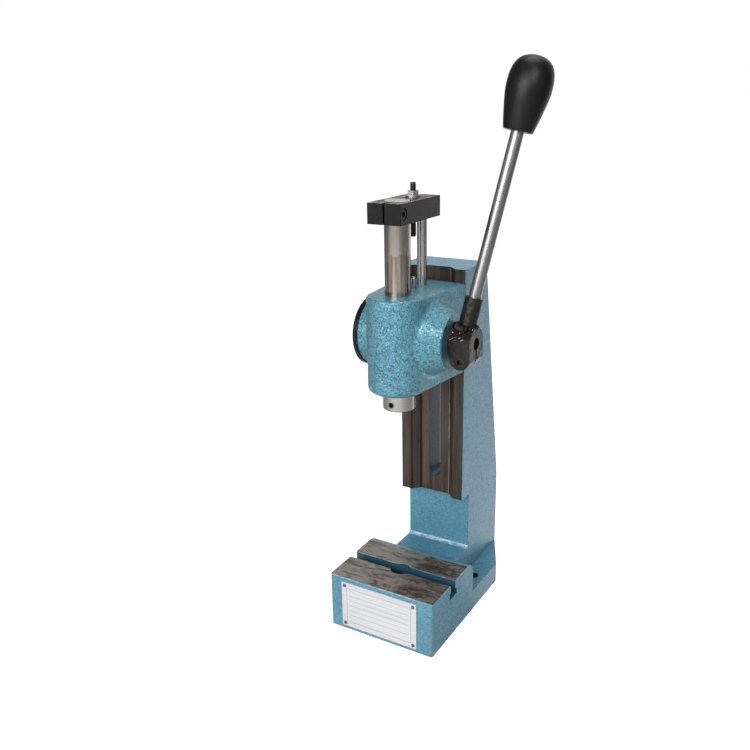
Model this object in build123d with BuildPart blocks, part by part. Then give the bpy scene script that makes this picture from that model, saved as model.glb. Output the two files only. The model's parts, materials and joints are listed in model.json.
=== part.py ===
from build123d import *
import math
import os

os.makedirs("parts", exist_ok=True)

# Manual riveting press: a cast frame, a head that slides on the column, and a rack ram driven by a lever.
# Millimetres. +X is the lever side, +Y the back, +Z up. The origin is on the ram axis, at the underside of the base.

# Frame casting: base
base_width = 120.0
base_front = 44.0  # from the ram axis to the front face
base_height = 61.0
block_back = 52.3  # back face of the front block
block_round = 15.5  # rounding behind the rear land
flange_height = 23.0
flange_straight = 117.0  # where the sides of the flange start to draw in
base_back = 166.0
base_bore = 22.0
edge_round = 2.0
t_slot_y = 3.0  # middle of the T slot behind the ram axis
t_neck = 10.0
t_head = 17.0
t_head_height = 7.0
t_depth = 17.0
t_mouth_round = 4.5  # rounding of the front land's edge at the T slot
foot_hole = 12.0
foot_hole_x = 47.0
foot_hole_y = 81.0

# Frame casting: column
column_width = 74.0
column_front = 88.5
column_top = 371.0
column_back_top = 122.0
column_knee = 112.0  # height where the tapered back turns upright
knee_round = 60.0
spine_round = 4.0
spine_top = 51.5  # top of the web between the front block and the column
slide_front = 71.0
slide_bottom = 118.0
channel_depth = 8.0
channel_shoulder = 12.0
slot_width = 12.5
slot_bottom = 136.5
slot_top = 354.0
slot_wall = 24.0  # thickness of the column wall behind the channel floor
side_wall = 12.0
pocket_bottom = 64.0
top_wall = 10.0
pocket_round = 8.0

# Name plate
plate_width = 88.0
plate_height = 52.0
plate_thick = 1.0
plate_x = -1.6
plate_z = 30.0
rivet_inset = 3.6
rivet_head = 4.0
rivet_head_height = 1.0
rivet_shank = 2.4
rivet_depth = 5.0

# Ram, rack and pinion
ram_dia = 25.0
ram_top = 445.0
ram_bottom = 243.5
ram_chamfer = 0.6
collar_chamfer = 0.8
tool_bore = 10.0
tool_bore_depth = 30.0
module = 2.0
pinion_teeth = 16
rack_cut = 3.5  # depth of the flat that the rack teeth stand on
rack_above = 56.0  # length of the flat above the pinion axis
rack_below = 18.0
backlash = 0.3
pinion_z = 312.2
pinion_width = 24.0
pressure_angle = 20.0
shaft_dia = 16.0
shaft_end_dia = 12.0
shaft_left = 38.5
shaft_recess = 6.0  # the shaft's right end stands this far inside the hub

# Head casting
head_bottom = 262.5
head_height = 94.8
head_low_round = 6.0
head_top_round = 2.5
nose_radius = 28.5
nose_y = -3.5
boss_base_radius = 42.8
boss_base_x = 20.0  # the cone starts inside the head, so it meets the side along a curve
boss_radius = 26.8
boss_end = 47.9
boss_foot_round = 4.0
spring_boss_radius = 33.5
spring_boss_end = 40.2
spring_pocket_radius = 29.0
spring_pocket_depth = 16.0
bush_wall = 4.0
oil_hole = 2.5
oil_hole_x = -16.5
oil_hole_depth = 12.0

# Spring, cover and bushes
cover_radius = 34.7
cover_thick = 5.5
cover_screw_pcd = 62.0
cover_screw_count = 3
cover_screw_dia = 3.0
cover_screw_head = 5.5
cover_screw_head_height = 2.0
cover_screw_depth = 8.0  # in the head
cover_screw_slot = 0.8
cover_chamfer = 1.0
cover_dish_radius = 24.0
cover_dish_depth = 1.0
spring_thick = 0.9
spring_width = 11.0
spring_turns = 6.0
spring_pin_dia = 4.0
spring_pin_radius = 25.4  # from the shaft axis
spring_pin_seat = 6.0
spring_eye_gap = 0.1
spring_shaft_gap = 0.6
spring_side_gap = 2.0

# Lever
hub_width = 20.6
hub_radius = 15.5
hub_slit = 2.5
hub_screw_drop = 16.0  # clamp screw below the shaft
hub_foot_drop = 13.3  # middle of the foot's rounding below the shaft
hub_flat_rise = 7.2  # the flat front runs this far above the shaft
hub_screw_dia = 6.0
hub_screw_head = 9.0
washer_radius = 15.0
washer_thick = 2.6
lever_x = 57.6
lever_lean = 10.0  # degrees, lever leans to the back at rest
lever_tilt = 10.0  # degrees, lever leans outward from the head
socket_dia = 17.5
socket_reach = 44.0
rod_dia = 12.0
rod_start = 18.0
knob_start = 197.0
knob_length = 65.3
knob_foot_radius = 13.4
knob_low_radius = 17.6
knob_low_height = 18.0
knob_radius = 20.5
knob_widest = 42.0
knob_shoulder_radius = 14.6
knob_shoulder_height = 60.2
knob_hole_depth = 32.0
knob_foot_round = 1.2

# Collar, top block, guide rod and stop
collar_dia = 32.0
collar_gap = 0.3
set_screw_dia = 6.0
set_screw_length = 9.0
set_screw_z = 250.5
block_width = 35.0
block_front = 25.0
block_length = 78.0
block_height = 19.3
block_slit = 2.0
block_screw_y = -18.6
cap_screw_dia = 6.0
cap_head_dia = 10.0
cap_head_height = 6.0
cap_socket = 5.0
cap_socket_depth = 3.0
cap_screw_length = 28.0  # with its head
head_seat_clear = 0.5
guide_dia = 10.0
guide_y = 48.5
guide_bottom = 306.0
guide_top_wall = 5.0
stop_y = 30.5
stud_dia = 6.0
stud_length = 51.0
stud_rise = 13.6  # how far the stud stands above the block
stud_chamfer = 0.8
nut_flats = 10.0
nut_height = 6.0
nut_flange_dia = 14.2
nut_flange_height = 1.6
stop_pin_dia = 5.0
stop_pin_height = 11.5
stop_pin_depth = 10.0

# Clamping of the head on the column
clamp_stud_dia = 10.0
clamp_stud_spacing = 52.0
clamp_stud_depth = 16.0  # thread length in the head
clamp_plate_width = 34.0
clamp_plate_height = 76.0
clamp_plate_thick = 6.0
clamp_nut_flats = 16.0
nut_chamfer_angle = 60.0
clamp_nut_height = 8.0
clamp_stud_past_nut = 2.0
clamp_plate_corner = 4.0

# Fits
slide_clear = 0.1  # between the head and the channel, on each face
run_clear = 0.05  # radial, between a shaft or rod and its bore
seat_gap = 0.1  # end play between faces that turn on each other
washer_clear = 0.4

# Places worked out from the sizes above
channel_floor = slide_front + channel_depth
channel_mouth_half = column_width / 2 - channel_shoulder
channel_floor_half = channel_mouth_half - channel_depth
pocket_front = channel_floor + slot_wall
head_top = head_bottom + head_height
ram_radius = ram_dia / 2
pitch_radius = module * pinion_teeth / 2
rack_tip = ram_radius - rack_cut
pinion_y = rack_tip - module + pitch_radius
pinion_tip = pitch_radius + module
pinion_root = pitch_radius - 1.25 * module
t_mouth_front = t_slot_y - t_neck / 2
cavity_radius = pinion_tip + 0.5
hub_left = boss_end + washer_thick + seat_gap
hub_right = hub_left + hub_width
hub_middle = (hub_left + hub_right) / 2
shaft_right = hub_right - shaft_recess
block_bottom = ram_top - block_height
clamp_plate_front = pocket_front + slide_clear
clamp_stud_end = clamp_plate_front + clamp_plate_thick + clamp_nut_height + clamp_stud_past_nut
clamp_stud_heights = (pinion_z - clamp_stud_spacing / 2, pinion_z + clamp_stud_spacing / 2)
lean = math.radians(lever_lean)
tilt = math.radians(lever_tilt)
lever_dir = Vector(math.sin(tilt), math.cos(tilt) * math.sin(lean), math.cos(tilt) * math.cos(lean))
lever_side = Vector(math.cos(tilt), -math.sin(tilt) * math.sin(lean), -math.sin(tilt) * math.cos(lean))
head_back = slide_front - slide_clear
head_back_half = column_width / 2 - 2 * slide_clear
tongue_tip = channel_floor - slide_clear
tongue_mouth_half = channel_mouth_half + slide_clear * (1 - math.sqrt(2))
tongue_tip_half = tongue_mouth_half - channel_depth
nose_span = math.hypot(head_back_half, head_back - nose_y)
nose_turn = math.atan2(head_back - nose_y, head_back_half) - math.acos(nose_radius / nose_span)
nose_touch = (nose_radius * math.cos(nose_turn), nose_y + nose_radius * math.sin(nose_turn))
spring_pocket_floor = -spring_boss_end + spring_pocket_depth
bush_left_end = -(ram_radius + 0.4)
cavity_right = pinion_width / 2 + 0.4
bush_radius = shaft_dia / 2 + bush_wall
collar_height = head_bottom - collar_gap - ram_bottom
stop_pin_top = head_top + stop_pin_height
stud_bottom = ram_top + stud_rise - stud_length
pinion_line = Plane(origin=(0, pinion_y, pinion_z), x_dir=(1, 0, 0), z_dir=(0, -1, 0))
pinion_axis = Axis((0, pinion_y, pinion_z), (1, 0, 0))
lever_root = Vector(lever_x, pinion_y, pinion_z)
lever_plane = Plane(origin=lever_root, x_dir=lever_side, z_dir=lever_dir)


def on_x(x):
    """A plane square to X whose own axes are +Y and +Z."""
    return Plane(origin=(x, 0, 0), x_dir=(0, 1, 0), z_dir=(1, 0, 0))


def hex_radius(flats):
    """Corner radius of a hexagon from the size across its flats."""
    return flats / 2 / math.cos(math.radians(30))


# Frame casting
with BuildPart() as frame_casting:
    # Column with its spine and slideway, as one side outline
    with BuildSketch(on_x(-column_width / 2)):
        with BuildLine():
            Polyline(
                (block_back - block_round, 0),
                (block_back - block_round, spine_top),
                (column_front, spine_top),
                (column_front, slide_bottom),
                (slide_front, slide_bottom),
                (slide_front, column_top),
                (column_back_top, column_top),
                (base_back, column_knee),
                (base_back, 0),
                close=True,
            )
        make_face()
    extrude(amount=column_width)
    knee = frame_casting.edges().filter_by(Axis.X).filter_by_position(Axis.Z, column_knee - 1, column_knee + 1)
    fillet(knee.sort_by(Axis.Y)[-1], radius=knee_round)
    foot = frame_casting.edges().filter_by(Axis.X).filter_by_position(Axis.Z, spine_top - 1, spine_top + 1)
    fillet(foot.sort_by(Axis.Y)[-1], radius=spine_round)
    # Flange
    with BuildSketch(Plane.XY):
        with BuildLine():
            Polyline(
                (-base_width / 2, 0),
                (base_width / 2, 0),
                (base_width / 2, flange_straight),
                (column_width / 2, base_back),
                (-column_width / 2, base_back),
                (-base_width / 2, flange_straight),
                close=True,
            )
        make_face()
    extrude(amount=flange_height)
    # Front block
    with BuildSketch(on_x(-base_width / 2)):
        with BuildLine():
            Polyline(
                (block_back, base_height - block_round),
                (block_back, 0),
                (-base_front, 0),
                (-base_front, base_height),
                (block_back - block_round, base_height),
            )
            RadiusArc((block_back - block_round, base_height), (block_back, base_height - block_round), block_round)
        make_face()
    extrude(amount=base_width)
    corners = frame_casting.edges().filter_by(Axis.Z).filter_by_position(Axis.Y, -base_front - 1, -base_front + 1)
    fillet(corners, radius=edge_round)
    # Rear pocket of the column, open at the back
    with BuildSketch(Plane.XZ.offset(-pocket_front)):
        with Locations((0, (pocket_bottom + column_top - top_wall) / 2)):
            RectangleRounded(
                column_width - 2 * side_wall, column_top - top_wall - pocket_bottom, pocket_round
            )
    extrude(amount=-(base_back - pocket_front + 1), mode=Mode.SUBTRACT)
    # Channel of the slideway
    with BuildSketch(Plane.XY.offset(slide_bottom - 1)):
        with BuildLine():
            Polyline(
                (-channel_mouth_half - 1, slide_front - 1),
                (-channel_floor_half, channel_floor),
                (channel_floor_half, channel_floor),
                (channel_mouth_half + 1, slide_front - 1),
                close=True,
            )
        make_face()
    extrude(amount=column_top - slide_bottom + 2, mode=Mode.SUBTRACT)
    # Clamping slot
    with BuildSketch(Plane.XZ.offset(-channel_floor + 1)):
        with Locations((0, (slot_bottom + slot_top) / 2)):
            SlotOverall(slot_top - slot_bottom, slot_width, rotation=90)
    extrude(amount=-(slot_wall + 2), mode=Mode.SUBTRACT)
    # T slot across the table
    with BuildSketch(on_x(-base_width / 2)):
        with Locations((t_slot_y, base_height - t_depth / 2)):
            Rectangle(t_neck, t_depth)
        with Locations((t_slot_y, base_height - t_depth + t_head_height / 2)):
            Rectangle(t_head, t_head_height)
        with BuildLine():
            Polyline(
                (t_mouth_front - t_mouth_round, base_height),
                (t_slot_y, base_height),
                (t_slot_y, base_height - t_mouth_round),
                (t_mouth_front, base_height - t_mouth_round),
            )
            JernArc((t_mouth_front, base_height - t_mouth_round), (0, 1), t_mouth_round, 90)
        make_face()
    extrude(amount=base_width, mode=Mode.SUBTRACT)
    # Table bore and foot holes
    with Locations((0, 0, base_height)):
        Hole(base_bore / 2)
    with Locations((foot_hole_x, foot_hole_y, flange_height), (-foot_hole_x, foot_hole_y, flange_height)):
        Hole(foot_hole / 2)
    # Rivet holes
    with BuildSketch(Plane.XZ.offset(base_front)):
        with Locations((plate_x, plate_z)):
            with GridLocations(plate_width - 2 * rivet_inset, plate_height - 2 * rivet_inset, 2, 2):
                Circle(rivet_shank / 2)
    extrude(amount=-rivet_depth, mode=Mode.SUBTRACT)
frame_casting.part.label = "frame_casting"
export_step(frame_casting.part, "parts/frame_casting.step")

# Name plate, left bare
with BuildPart() as name_plate:
    with BuildSketch(Plane.XZ.offset(base_front)):
        with Locations((plate_x, plate_z)):
            RectangleRounded(plate_width, plate_height, 1.0)
            with GridLocations(plate_width - 2 * rivet_inset, plate_height - 2 * rivet_inset, 2, 2):
                Circle(rivet_shank / 2, mode=Mode.SUBTRACT)
    extrude(amount=plate_thick)
name_plate.part.label = "name_plate"
export_step(name_plate.part, "parts/name_plate.step")

# Four drive rivets through the plate
with BuildPart() as plate_rivets:
    with BuildSketch(Plane.XZ.offset(base_front - rivet_depth)):
        with Locations((plate_x, plate_z)):
            with GridLocations(plate_width - 2 * rivet_inset, plate_height - 2 * rivet_inset, 2, 2):
                Circle(rivet_shank / 2)
    extrude(amount=rivet_depth + plate_thick)
    with BuildSketch(Plane.XZ.offset(base_front + plate_thick)):
        with Locations((plate_x, plate_z)):
            with GridLocations(plate_width - 2 * rivet_inset, plate_height - 2 * rivet_inset, 2, 2):
                Circle(rivet_head / 2)
    extrude(amount=rivet_head_height, taper=25)
plate_rivets.part.label = "plate_rivets"
export_step(plate_rivets.part, "parts/plate_rivets.step")

# Head casting: rounded nose, trapezoid tongue and two bosses
with BuildPart() as head_casting:
    with BuildSketch(Plane.XY.offset(head_bottom)):
        with BuildLine():
            ThreePointArc((-nose_touch[0], nose_touch[1]), (0, nose_y - nose_radius), nose_touch)
            Polyline(
                nose_touch,
                (head_back_half, head_back),
                (tongue_mouth_half, head_back),
                (tongue_tip_half, tongue_tip),
                (-tongue_tip_half, tongue_tip),
                (-tongue_mouth_half, head_back),
                (-head_back_half, head_back),
                (-nose_touch[0], nose_touch[1]),
            )
        make_face()
    extrude(amount=head_height)
    rim = head_casting.edges().group_by(Axis.Z)[0].filter_by(lambda edge: edge.center().Y < head_back - 2)
    fillet(rim, radius=head_low_round)
    rim = head_casting.edges().group_by(Axis.Z)[-1].filter_by(lambda edge: edge.center().Y < head_back - 2)
    fillet(rim, radius=head_top_round)
    # Conical boss for the lever side
    with BuildSketch(pinion_line):
        with BuildLine():
            Polyline(
                (boss_base_x, 0), (boss_base_x, boss_base_radius), (boss_end, boss_radius), (boss_end, 0), close=True
            )
        make_face()
    revolve(axis=pinion_axis)
    foot = head_casting.edges(Select.LAST).filter_by(lambda edge: edge.center().X < boss_end - 1)
    fillet(foot, radius=boss_foot_round)
    # Round boss for the return spring
    with BuildSketch(on_x(-spring_boss_end)):
        with Locations((pinion_y, pinion_z)):
            Circle(spring_boss_radius)
    extrude(amount=spring_boss_end - boss_base_x / 2)
    foot = head_casting.edges(Select.LAST).filter_by(lambda edge: edge.center().X > -spring_boss_end + 1)
    fillet(foot, radius=boss_foot_round)
    # Ram bore, guide rod bore, stop pin hole and oil hole
    with Locations((0, 0, head_top)):
        Hole(ram_radius + run_clear)
    with Locations((0, guide_y, head_top)):
        Hole(guide_dia / 2 + run_clear)
    with Locations((0, stop_y, head_top)):
        Hole(stop_pin_dia / 2, depth=stop_pin_depth)
    with Locations((oil_hole_x, nose_y, head_top)):
        Hole(oil_hole / 2, depth=oil_hole_depth)
    # Bores along the pinion axis
    with BuildSketch(pinion_line):
        with BuildLine():
            Polyline(
                (-spring_boss_end - 1, 0),
                (-spring_boss_end - 1, spring_pocket_radius),
                (spring_pocket_floor, spring_pocket_radius),
                (spring_pocket_floor, cavity_radius),
                (cavity_right, cavity_radius),
                (cavity_right, bush_radius),
                (boss_end + 1, bush_radius),
                (boss_end + 1, 0),
                close=True,
            )
        make_face()
    revolve(axis=pinion_axis, mode=Mode.SUBTRACT)
    # Cover screw holes and the hole of the spring pin
    with BuildSketch(on_x(-spring_boss_end)):
        with Locations((pinion_y, pinion_z)):
            with PolarLocations(cover_screw_pcd / 2, cover_screw_count, start_angle=90):
                Circle(cover_screw_dia / 2)
    extrude(amount=cover_screw_depth, mode=Mode.SUBTRACT)
    with BuildSketch(on_x(spring_pocket_floor)):
        with Locations((pinion_y + spring_pin_radius, pinion_z)):
            Circle(spring_pin_dia / 2)
    extrude(amount=spring_pin_seat, mode=Mode.SUBTRACT)
    # Threaded holes for the clamp studs
    with BuildSketch(Plane.XZ.offset(-tongue_tip)):
        with Locations(*[(0, height) for height in clamp_stud_heights]):
            Circle(clamp_stud_dia / 2)
    extrude(amount=clamp_stud_depth, mode=Mode.SUBTRACT)
head_casting.part.label = "head_casting"
export_step(head_casting.part, "parts/head_casting.step")

# Plain bushes of the pinion shaft
with BuildPart() as shaft_bush_right:
    with BuildSketch(on_x(cavity_right)):
        with Locations((pinion_y, pinion_z)):
            Circle(bush_radius)
            Circle(shaft_dia / 2 + run_clear, mode=Mode.SUBTRACT)
    extrude(amount=boss_end - cavity_right)
shaft_bush_right.part.label = "shaft_bush_right"
export_step(shaft_bush_right.part, "parts/shaft_bush_right.step")

with BuildPart() as shaft_bush_left:
    with BuildSketch(on_x(spring_pocket_floor)):
        with Locations((pinion_y, pinion_z)):
            Circle(cavity_radius)
            Circle(shaft_dia / 2 + run_clear, mode=Mode.SUBTRACT)
    extrude(amount=bush_left_end - spring_pocket_floor)
shaft_bush_left.part.label = "shaft_bush_left"
export_step(shaft_bush_left.part, "parts/shaft_bush_left.step")

# Thrust washer between the boss and the lever hub
with BuildPart() as thrust_washer:
    with BuildSketch(on_x(boss_end)):
        with Locations((pinion_y, pinion_z)):
            Circle(washer_radius)
            Circle(shaft_dia / 2 + washer_clear, mode=Mode.SUBTRACT)
    extrude(amount=washer_thick)
thrust_washer.part.label = "thrust_washer"
export_step(thrust_washer.part, "parts/thrust_washer.step")

# Stop pin, pressed into the head, with a domed top
with BuildPart() as stop_pin:
    with Locations((0, stop_y, head_top - stop_pin_depth)):
        Cylinder(
            stop_pin_dia / 2,
            stop_pin_depth + stop_pin_height,
            align=(Align.CENTER, Align.CENTER, Align.MIN),
        )
    fillet(stop_pin.edges().group_by(Axis.Z)[-1], radius=stop_pin_dia * 0.4)
stop_pin.part.label = "stop_pin"
export_step(stop_pin.part, "parts/stop_pin.step")

# Cover of the return spring, with counterbored screw holes
with BuildPart() as spring_cover:
    with BuildSketch(on_x(-spring_boss_end - cover_thick)):
        with Locations((pinion_y, pinion_z)):
            Circle(cover_radius)
    extrude(amount=cover_thick)
    chamfer(spring_cover.edges().group_by(Axis.X)[0], length=cover_chamfer)
    with BuildSketch(on_x(-spring_boss_end - cover_thick)):
        with Locations((pinion_y, pinion_z)):
            Circle(cover_dish_radius)
    extrude(amount=cover_dish_depth, mode=Mode.SUBTRACT)
    with BuildSketch(on_x(-spring_boss_end - cover_thick)):
        with Locations((pinion_y, pinion_z)):
            with PolarLocations(cover_screw_pcd / 2, cover_screw_count, start_angle=90):
                Circle(cover_screw_dia / 2)
    extrude(amount=cover_thick, mode=Mode.SUBTRACT)
    with BuildSketch(on_x(-spring_boss_end - cover_thick)):
        with Locations((pinion_y, pinion_z)):
            with PolarLocations(cover_screw_pcd / 2, cover_screw_count, start_angle=90):
                Circle(cover_screw_head / 2)
    extrude(amount=cover_screw_head_height, mode=Mode.SUBTRACT)
spring_cover.part.label = "spring_cover"
export_step(spring_cover.part, "parts/spring_cover.step")

# Cover screws, flush in their counterbores, with a driver slot
with BuildPart() as cover_screws:
    with BuildSketch(on_x(-spring_boss_end - cover_thick)):
        with Locations((pinion_y, pinion_z)):
            with PolarLocations(cover_screw_pcd / 2, cover_screw_count, start_angle=90):
                Circle(cover_screw_head / 2)
    extrude(amount=cover_screw_head_height)
    with BuildSketch(on_x(-spring_boss_end - cover_thick)):
        with Locations((pinion_y, pinion_z)):
            with PolarLocations(cover_screw_pcd / 2, cover_screw_count, start_angle=90):
                Circle(cover_screw_dia / 2)
    extrude(amount=cover_thick + cover_screw_depth)
    with BuildSketch(on_x(-spring_boss_end - cover_thick)):
        with Locations((pinion_y, pinion_z)):
            with PolarLocations(cover_screw_pcd / 2, cover_screw_count, start_angle=90):
                Rectangle(cover_screw_head * 1.2, cover_screw_slot)
    extrude(amount=cover_screw_head_height / 2, mode=Mode.SUBTRACT)
cover_screws.part.label = "cover_screws"
export_step(cover_screws.part, "parts/cover_screws.step")

# Return spring: a flat spiral with an eye on the anchor pin
spring_inner = shaft_dia / 2 + spring_shaft_gap + spring_thick / 2
spring_outer = spring_pin_radius - spring_pin_dia / 2 - spring_eye_gap - spring_thick / 2
spring_rise = (spring_outer - spring_inner) / (2 * math.pi * spring_turns)
spring_steps = int(spring_turns * 16)


def spiral_point(step, side):
    """A point on one side of the spring strip, the last step being at the anchor pin."""
    angle = -2 * math.pi * spring_turns * (1 - step / spring_steps)
    radius = spring_outer + spring_rise * angle + side * spring_thick / 2
    return (pinion_y + radius * math.cos(angle), pinion_z + radius * math.sin(angle))


with BuildPart() as return_spring:
    with BuildSketch(on_x(spring_pocket_floor - spring_side_gap - spring_width)):
        with BuildLine():
            Spline(*[spiral_point(step, 1) for step in range(spring_steps + 1)])
            Line(spiral_point(spring_steps, 1), spiral_point(spring_steps, -1))
            Spline(*[spiral_point(step, -1) for step in range(spring_steps, -1, -1)])
            Line(spiral_point(0, -1), spiral_point(0, 1))
        make_face()
        with Locations((pinion_y + spring_pin_radius, pinion_z)):
            Circle(spring_pin_dia / 2 + spring_eye_gap + spring_thick)
            Circle(spring_pin_dia / 2 + spring_eye_gap, mode=Mode.SUBTRACT)
    extrude(amount=spring_width)
return_spring.part.label = "return_spring"
export_step(return_spring.part, "parts/return_spring.step")

# Anchor pin of the spring
with BuildPart() as spring_pin:
    with BuildSketch(on_x(spring_pocket_floor - spring_side_gap - spring_width)):
        with Locations((pinion_y + spring_pin_radius, pinion_z)):
            Circle(spring_pin_dia / 2)
    extrude(amount=spring_width + spring_side_gap + spring_pin_seat)
spring_pin.part.label = "spring_pin"
export_step(spring_pin.part, "parts/spring_pin.step")

# Studs, plate and nuts that clamp the head from behind the column
with BuildPart() as clamp_studs:
    with BuildSketch(Plane.XZ.offset(-(tongue_tip - clamp_stud_depth))):
        with Locations(*[(0, height) for height in clamp_stud_heights]):
            Circle(clamp_stud_dia / 2)
    extrude(amount=-(clamp_stud_end - tongue_tip + clamp_stud_depth))
clamp_studs.part.label = "clamp_studs"
export_step(clamp_studs.part, "parts/clamp_studs.step")

with BuildPart() as clamp_plate:
    with BuildSketch(Plane.XZ.offset(-clamp_plate_front)):
        with Locations((0, pinion_z)):
            RectangleRounded(clamp_plate_width, clamp_plate_height, clamp_plate_corner)
        with Locations(*[(0, height) for height in clamp_stud_heights]):
            Circle(clamp_stud_dia / 2 + 3 * slide_clear, mode=Mode.SUBTRACT)
    extrude(amount=-clamp_plate_thick)
clamp_plate.part.label = "clamp_plate"
export_step(clamp_plate.part, "parts/clamp_plate.step")

with BuildPart() as clamp_nuts:
    with BuildSketch(Plane.XZ.offset(-clamp_plate_front - clamp_plate_thick)):
        with Locations(*[(0, height) for height in clamp_stud_heights]):
            RegularPolygon(hex_radius(clamp_nut_flats), 6, rotation=30)
            Circle(clamp_stud_dia / 2, mode=Mode.SUBTRACT)
    extrude(amount=-clamp_nut_height)
    # Corners turned off on the outer side
    with BuildSketch(Plane.XZ.offset(-clamp_plate_front - clamp_plate_thick - clamp_nut_height)):
        with Locations(*[(0, height) for height in clamp_stud_heights]):
            Circle(clamp_nut_flats / 2)
    extrude(amount=clamp_nut_height, taper=-nut_chamfer_angle, mode=Mode.INTERSECT)
clamp_nuts.part.label = "clamp_nuts"
export_step(clamp_nuts.part, "parts/clamp_nuts.step")


def involute_flank(side):
    """Points of one tooth flank from root to tip, about the gear axis, with the tooth along -Y."""
    base = pitch_radius * math.cos(math.radians(pressure_angle))
    thick = (math.pi * module - backlash) / 2
    at_pitch = math.tan(math.radians(pressure_angle)) - math.radians(pressure_angle)
    half_angle = thick / 2 / pitch_radius + at_pitch
    points = [(pinion_root, half_angle)]
    for step in range(5):
        radius = max(base, pinion_root) + (pinion_tip - max(base, pinion_root)) * step / 4
        roll = math.acos(min(1.0, base / radius))
        points.append((radius, half_angle - (math.tan(roll) - roll)))
    return [(radius, side * angle) for radius, angle in points]


# Pinion shaft with its teeth cut in one piece
with BuildPart() as pinion_shaft:
    with BuildSketch(pinion_line):
        with BuildLine():
            Polyline(
                (-shaft_left, 0),
                (-shaft_left, shaft_dia / 2),
                (hub_left, shaft_dia / 2),
                (hub_left, shaft_end_dia / 2),
                (shaft_right, shaft_end_dia / 2),
                (shaft_right, 0),
                close=True,
            )
        make_face()
    revolve(axis=pinion_axis)
    outline = []
    for tooth in range(pinion_teeth):
        turn = math.pi + 2 * math.pi * tooth / pinion_teeth
        for radius, angle in involute_flank(-1) + involute_flank(1)[::-1]:
            outline.append((pinion_y + radius * math.cos(turn + angle), pinion_z + radius * math.sin(turn + angle)))
    with BuildSketch(on_x(-pinion_width / 2)):
        with BuildLine():
            Polyline(*outline, close=True)
        make_face()
    extrude(amount=pinion_width)
pinion_shaft.part.label = "pinion_shaft"
export_step(pinion_shaft.part, "parts/pinion_shaft.step")

# Lever hub: split clamp with a rounded foot, and the welded socket of the rod
with BuildPart() as lever_hub:
    with BuildSketch(on_x(hub_left)):
        with Locations((pinion_y, pinion_z)):
            Circle(hub_radius)
        with Locations((pinion_y, pinion_z)):
            Rectangle(2 * hub_radius, hub_foot_drop + hub_width / 2, align=(Align.CENTER, Align.MAX))
            Rectangle(hub_radius, hub_flat_rise, align=(Align.MAX, Align.MIN))
    extrude(amount=hub_width)
    with BuildSketch(Plane.XZ.offset(-pinion_y + hub_radius)):
        with Locations((hub_middle, pinion_z + hub_radius / 2)):
            Rectangle(hub_width, hub_radius * 3)
        with Locations((hub_middle, pinion_z - hub_foot_drop)):
            Rectangle(hub_width, hub_foot_drop, align=(Align.CENTER, Align.MIN))
            Circle(hub_width / 2)
    extrude(amount=-2 * hub_radius, mode=Mode.INTERSECT)
    with BuildSketch(lever_plane):
        Circle(socket_dia / 2)
    extrude(amount=socket_reach)
    # The socket is cut away where the thrust washer lies
    with BuildSketch(on_x(boss_end)):
        with Locations((pinion_y, pinion_z)):
            Circle(hub_radius)
    extrude(amount=hub_left - boss_end, mode=Mode.SUBTRACT)
    # Bore, slit and the clamp screw's hole
    with BuildSketch(on_x(hub_left)):
        with Locations((pinion_y, pinion_z)):
            Circle(shaft_end_dia / 2)
            Rectangle(hub_slit, 2 * hub_width + hub_screw_drop, align=(Align.CENTER, Align.MAX))
    extrude(amount=hub_width, mode=Mode.SUBTRACT)
    with BuildSketch(lever_plane.offset(rod_start)):
        Circle(rod_dia / 2)
    extrude(amount=socket_reach, mode=Mode.SUBTRACT)
    with BuildSketch(Plane.XZ.offset(-pinion_y + hub_radius)):
        with Locations((hub_middle, pinion_z - hub_screw_drop)):
            Circle(hub_screw_dia / 2)
    extrude(amount=-2 * hub_radius, mode=Mode.SUBTRACT)
    with BuildSketch(Plane.XZ.offset(-pinion_y + hub_radius)):
        with Locations((hub_middle, pinion_z - hub_screw_drop)):
            Circle(hub_screw_head / 2)
    extrude(amount=-hub_screw_dia - head_seat_clear, mode=Mode.SUBTRACT)
lever_hub.part.label = "lever_hub"
export_step(lever_hub.part, "parts/lever_hub.step")

# Clamp screw of the hub, with a hexagon socket
with BuildPart() as hub_screw:
    with BuildSketch(Plane.XZ.offset(-pinion_y + hub_radius - head_seat_clear)):
        with Locations((hub_middle, pinion_z - hub_screw_drop)):
            Circle(hub_screw_head / 2)
    extrude(amount=-hub_screw_dia)
    with BuildSketch(Plane.XZ.offset(-pinion_y + hub_radius - head_seat_clear)):
        with Locations((hub_middle, pinion_z - hub_screw_drop)):
            Circle(hub_screw_dia / 2)
    extrude(amount=-2 * hub_radius + 3 * head_seat_clear)
    with BuildSketch(Plane.XZ.offset(-pinion_y + hub_radius - head_seat_clear)):
        with Locations((hub_middle, pinion_z - hub_screw_drop)):
            RegularPolygon(hex_radius(cap_socket), 6)
    extrude(amount=-cap_socket_depth, mode=Mode.SUBTRACT)
hub_screw.part.label = "hub_screw"
export_step(hub_screw.part, "parts/hub_screw.step")

# Lever rod and its pear-shaped knob
with BuildPart() as lever_rod:
    with BuildSketch(lever_plane.offset(rod_start)):
        Circle(rod_dia / 2)
    extrude(amount=knob_start + knob_hole_depth - rod_start)
lever_rod.part.label = "lever_rod"
export_step(lever_rod.part, "parts/lever_rod.step")

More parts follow.
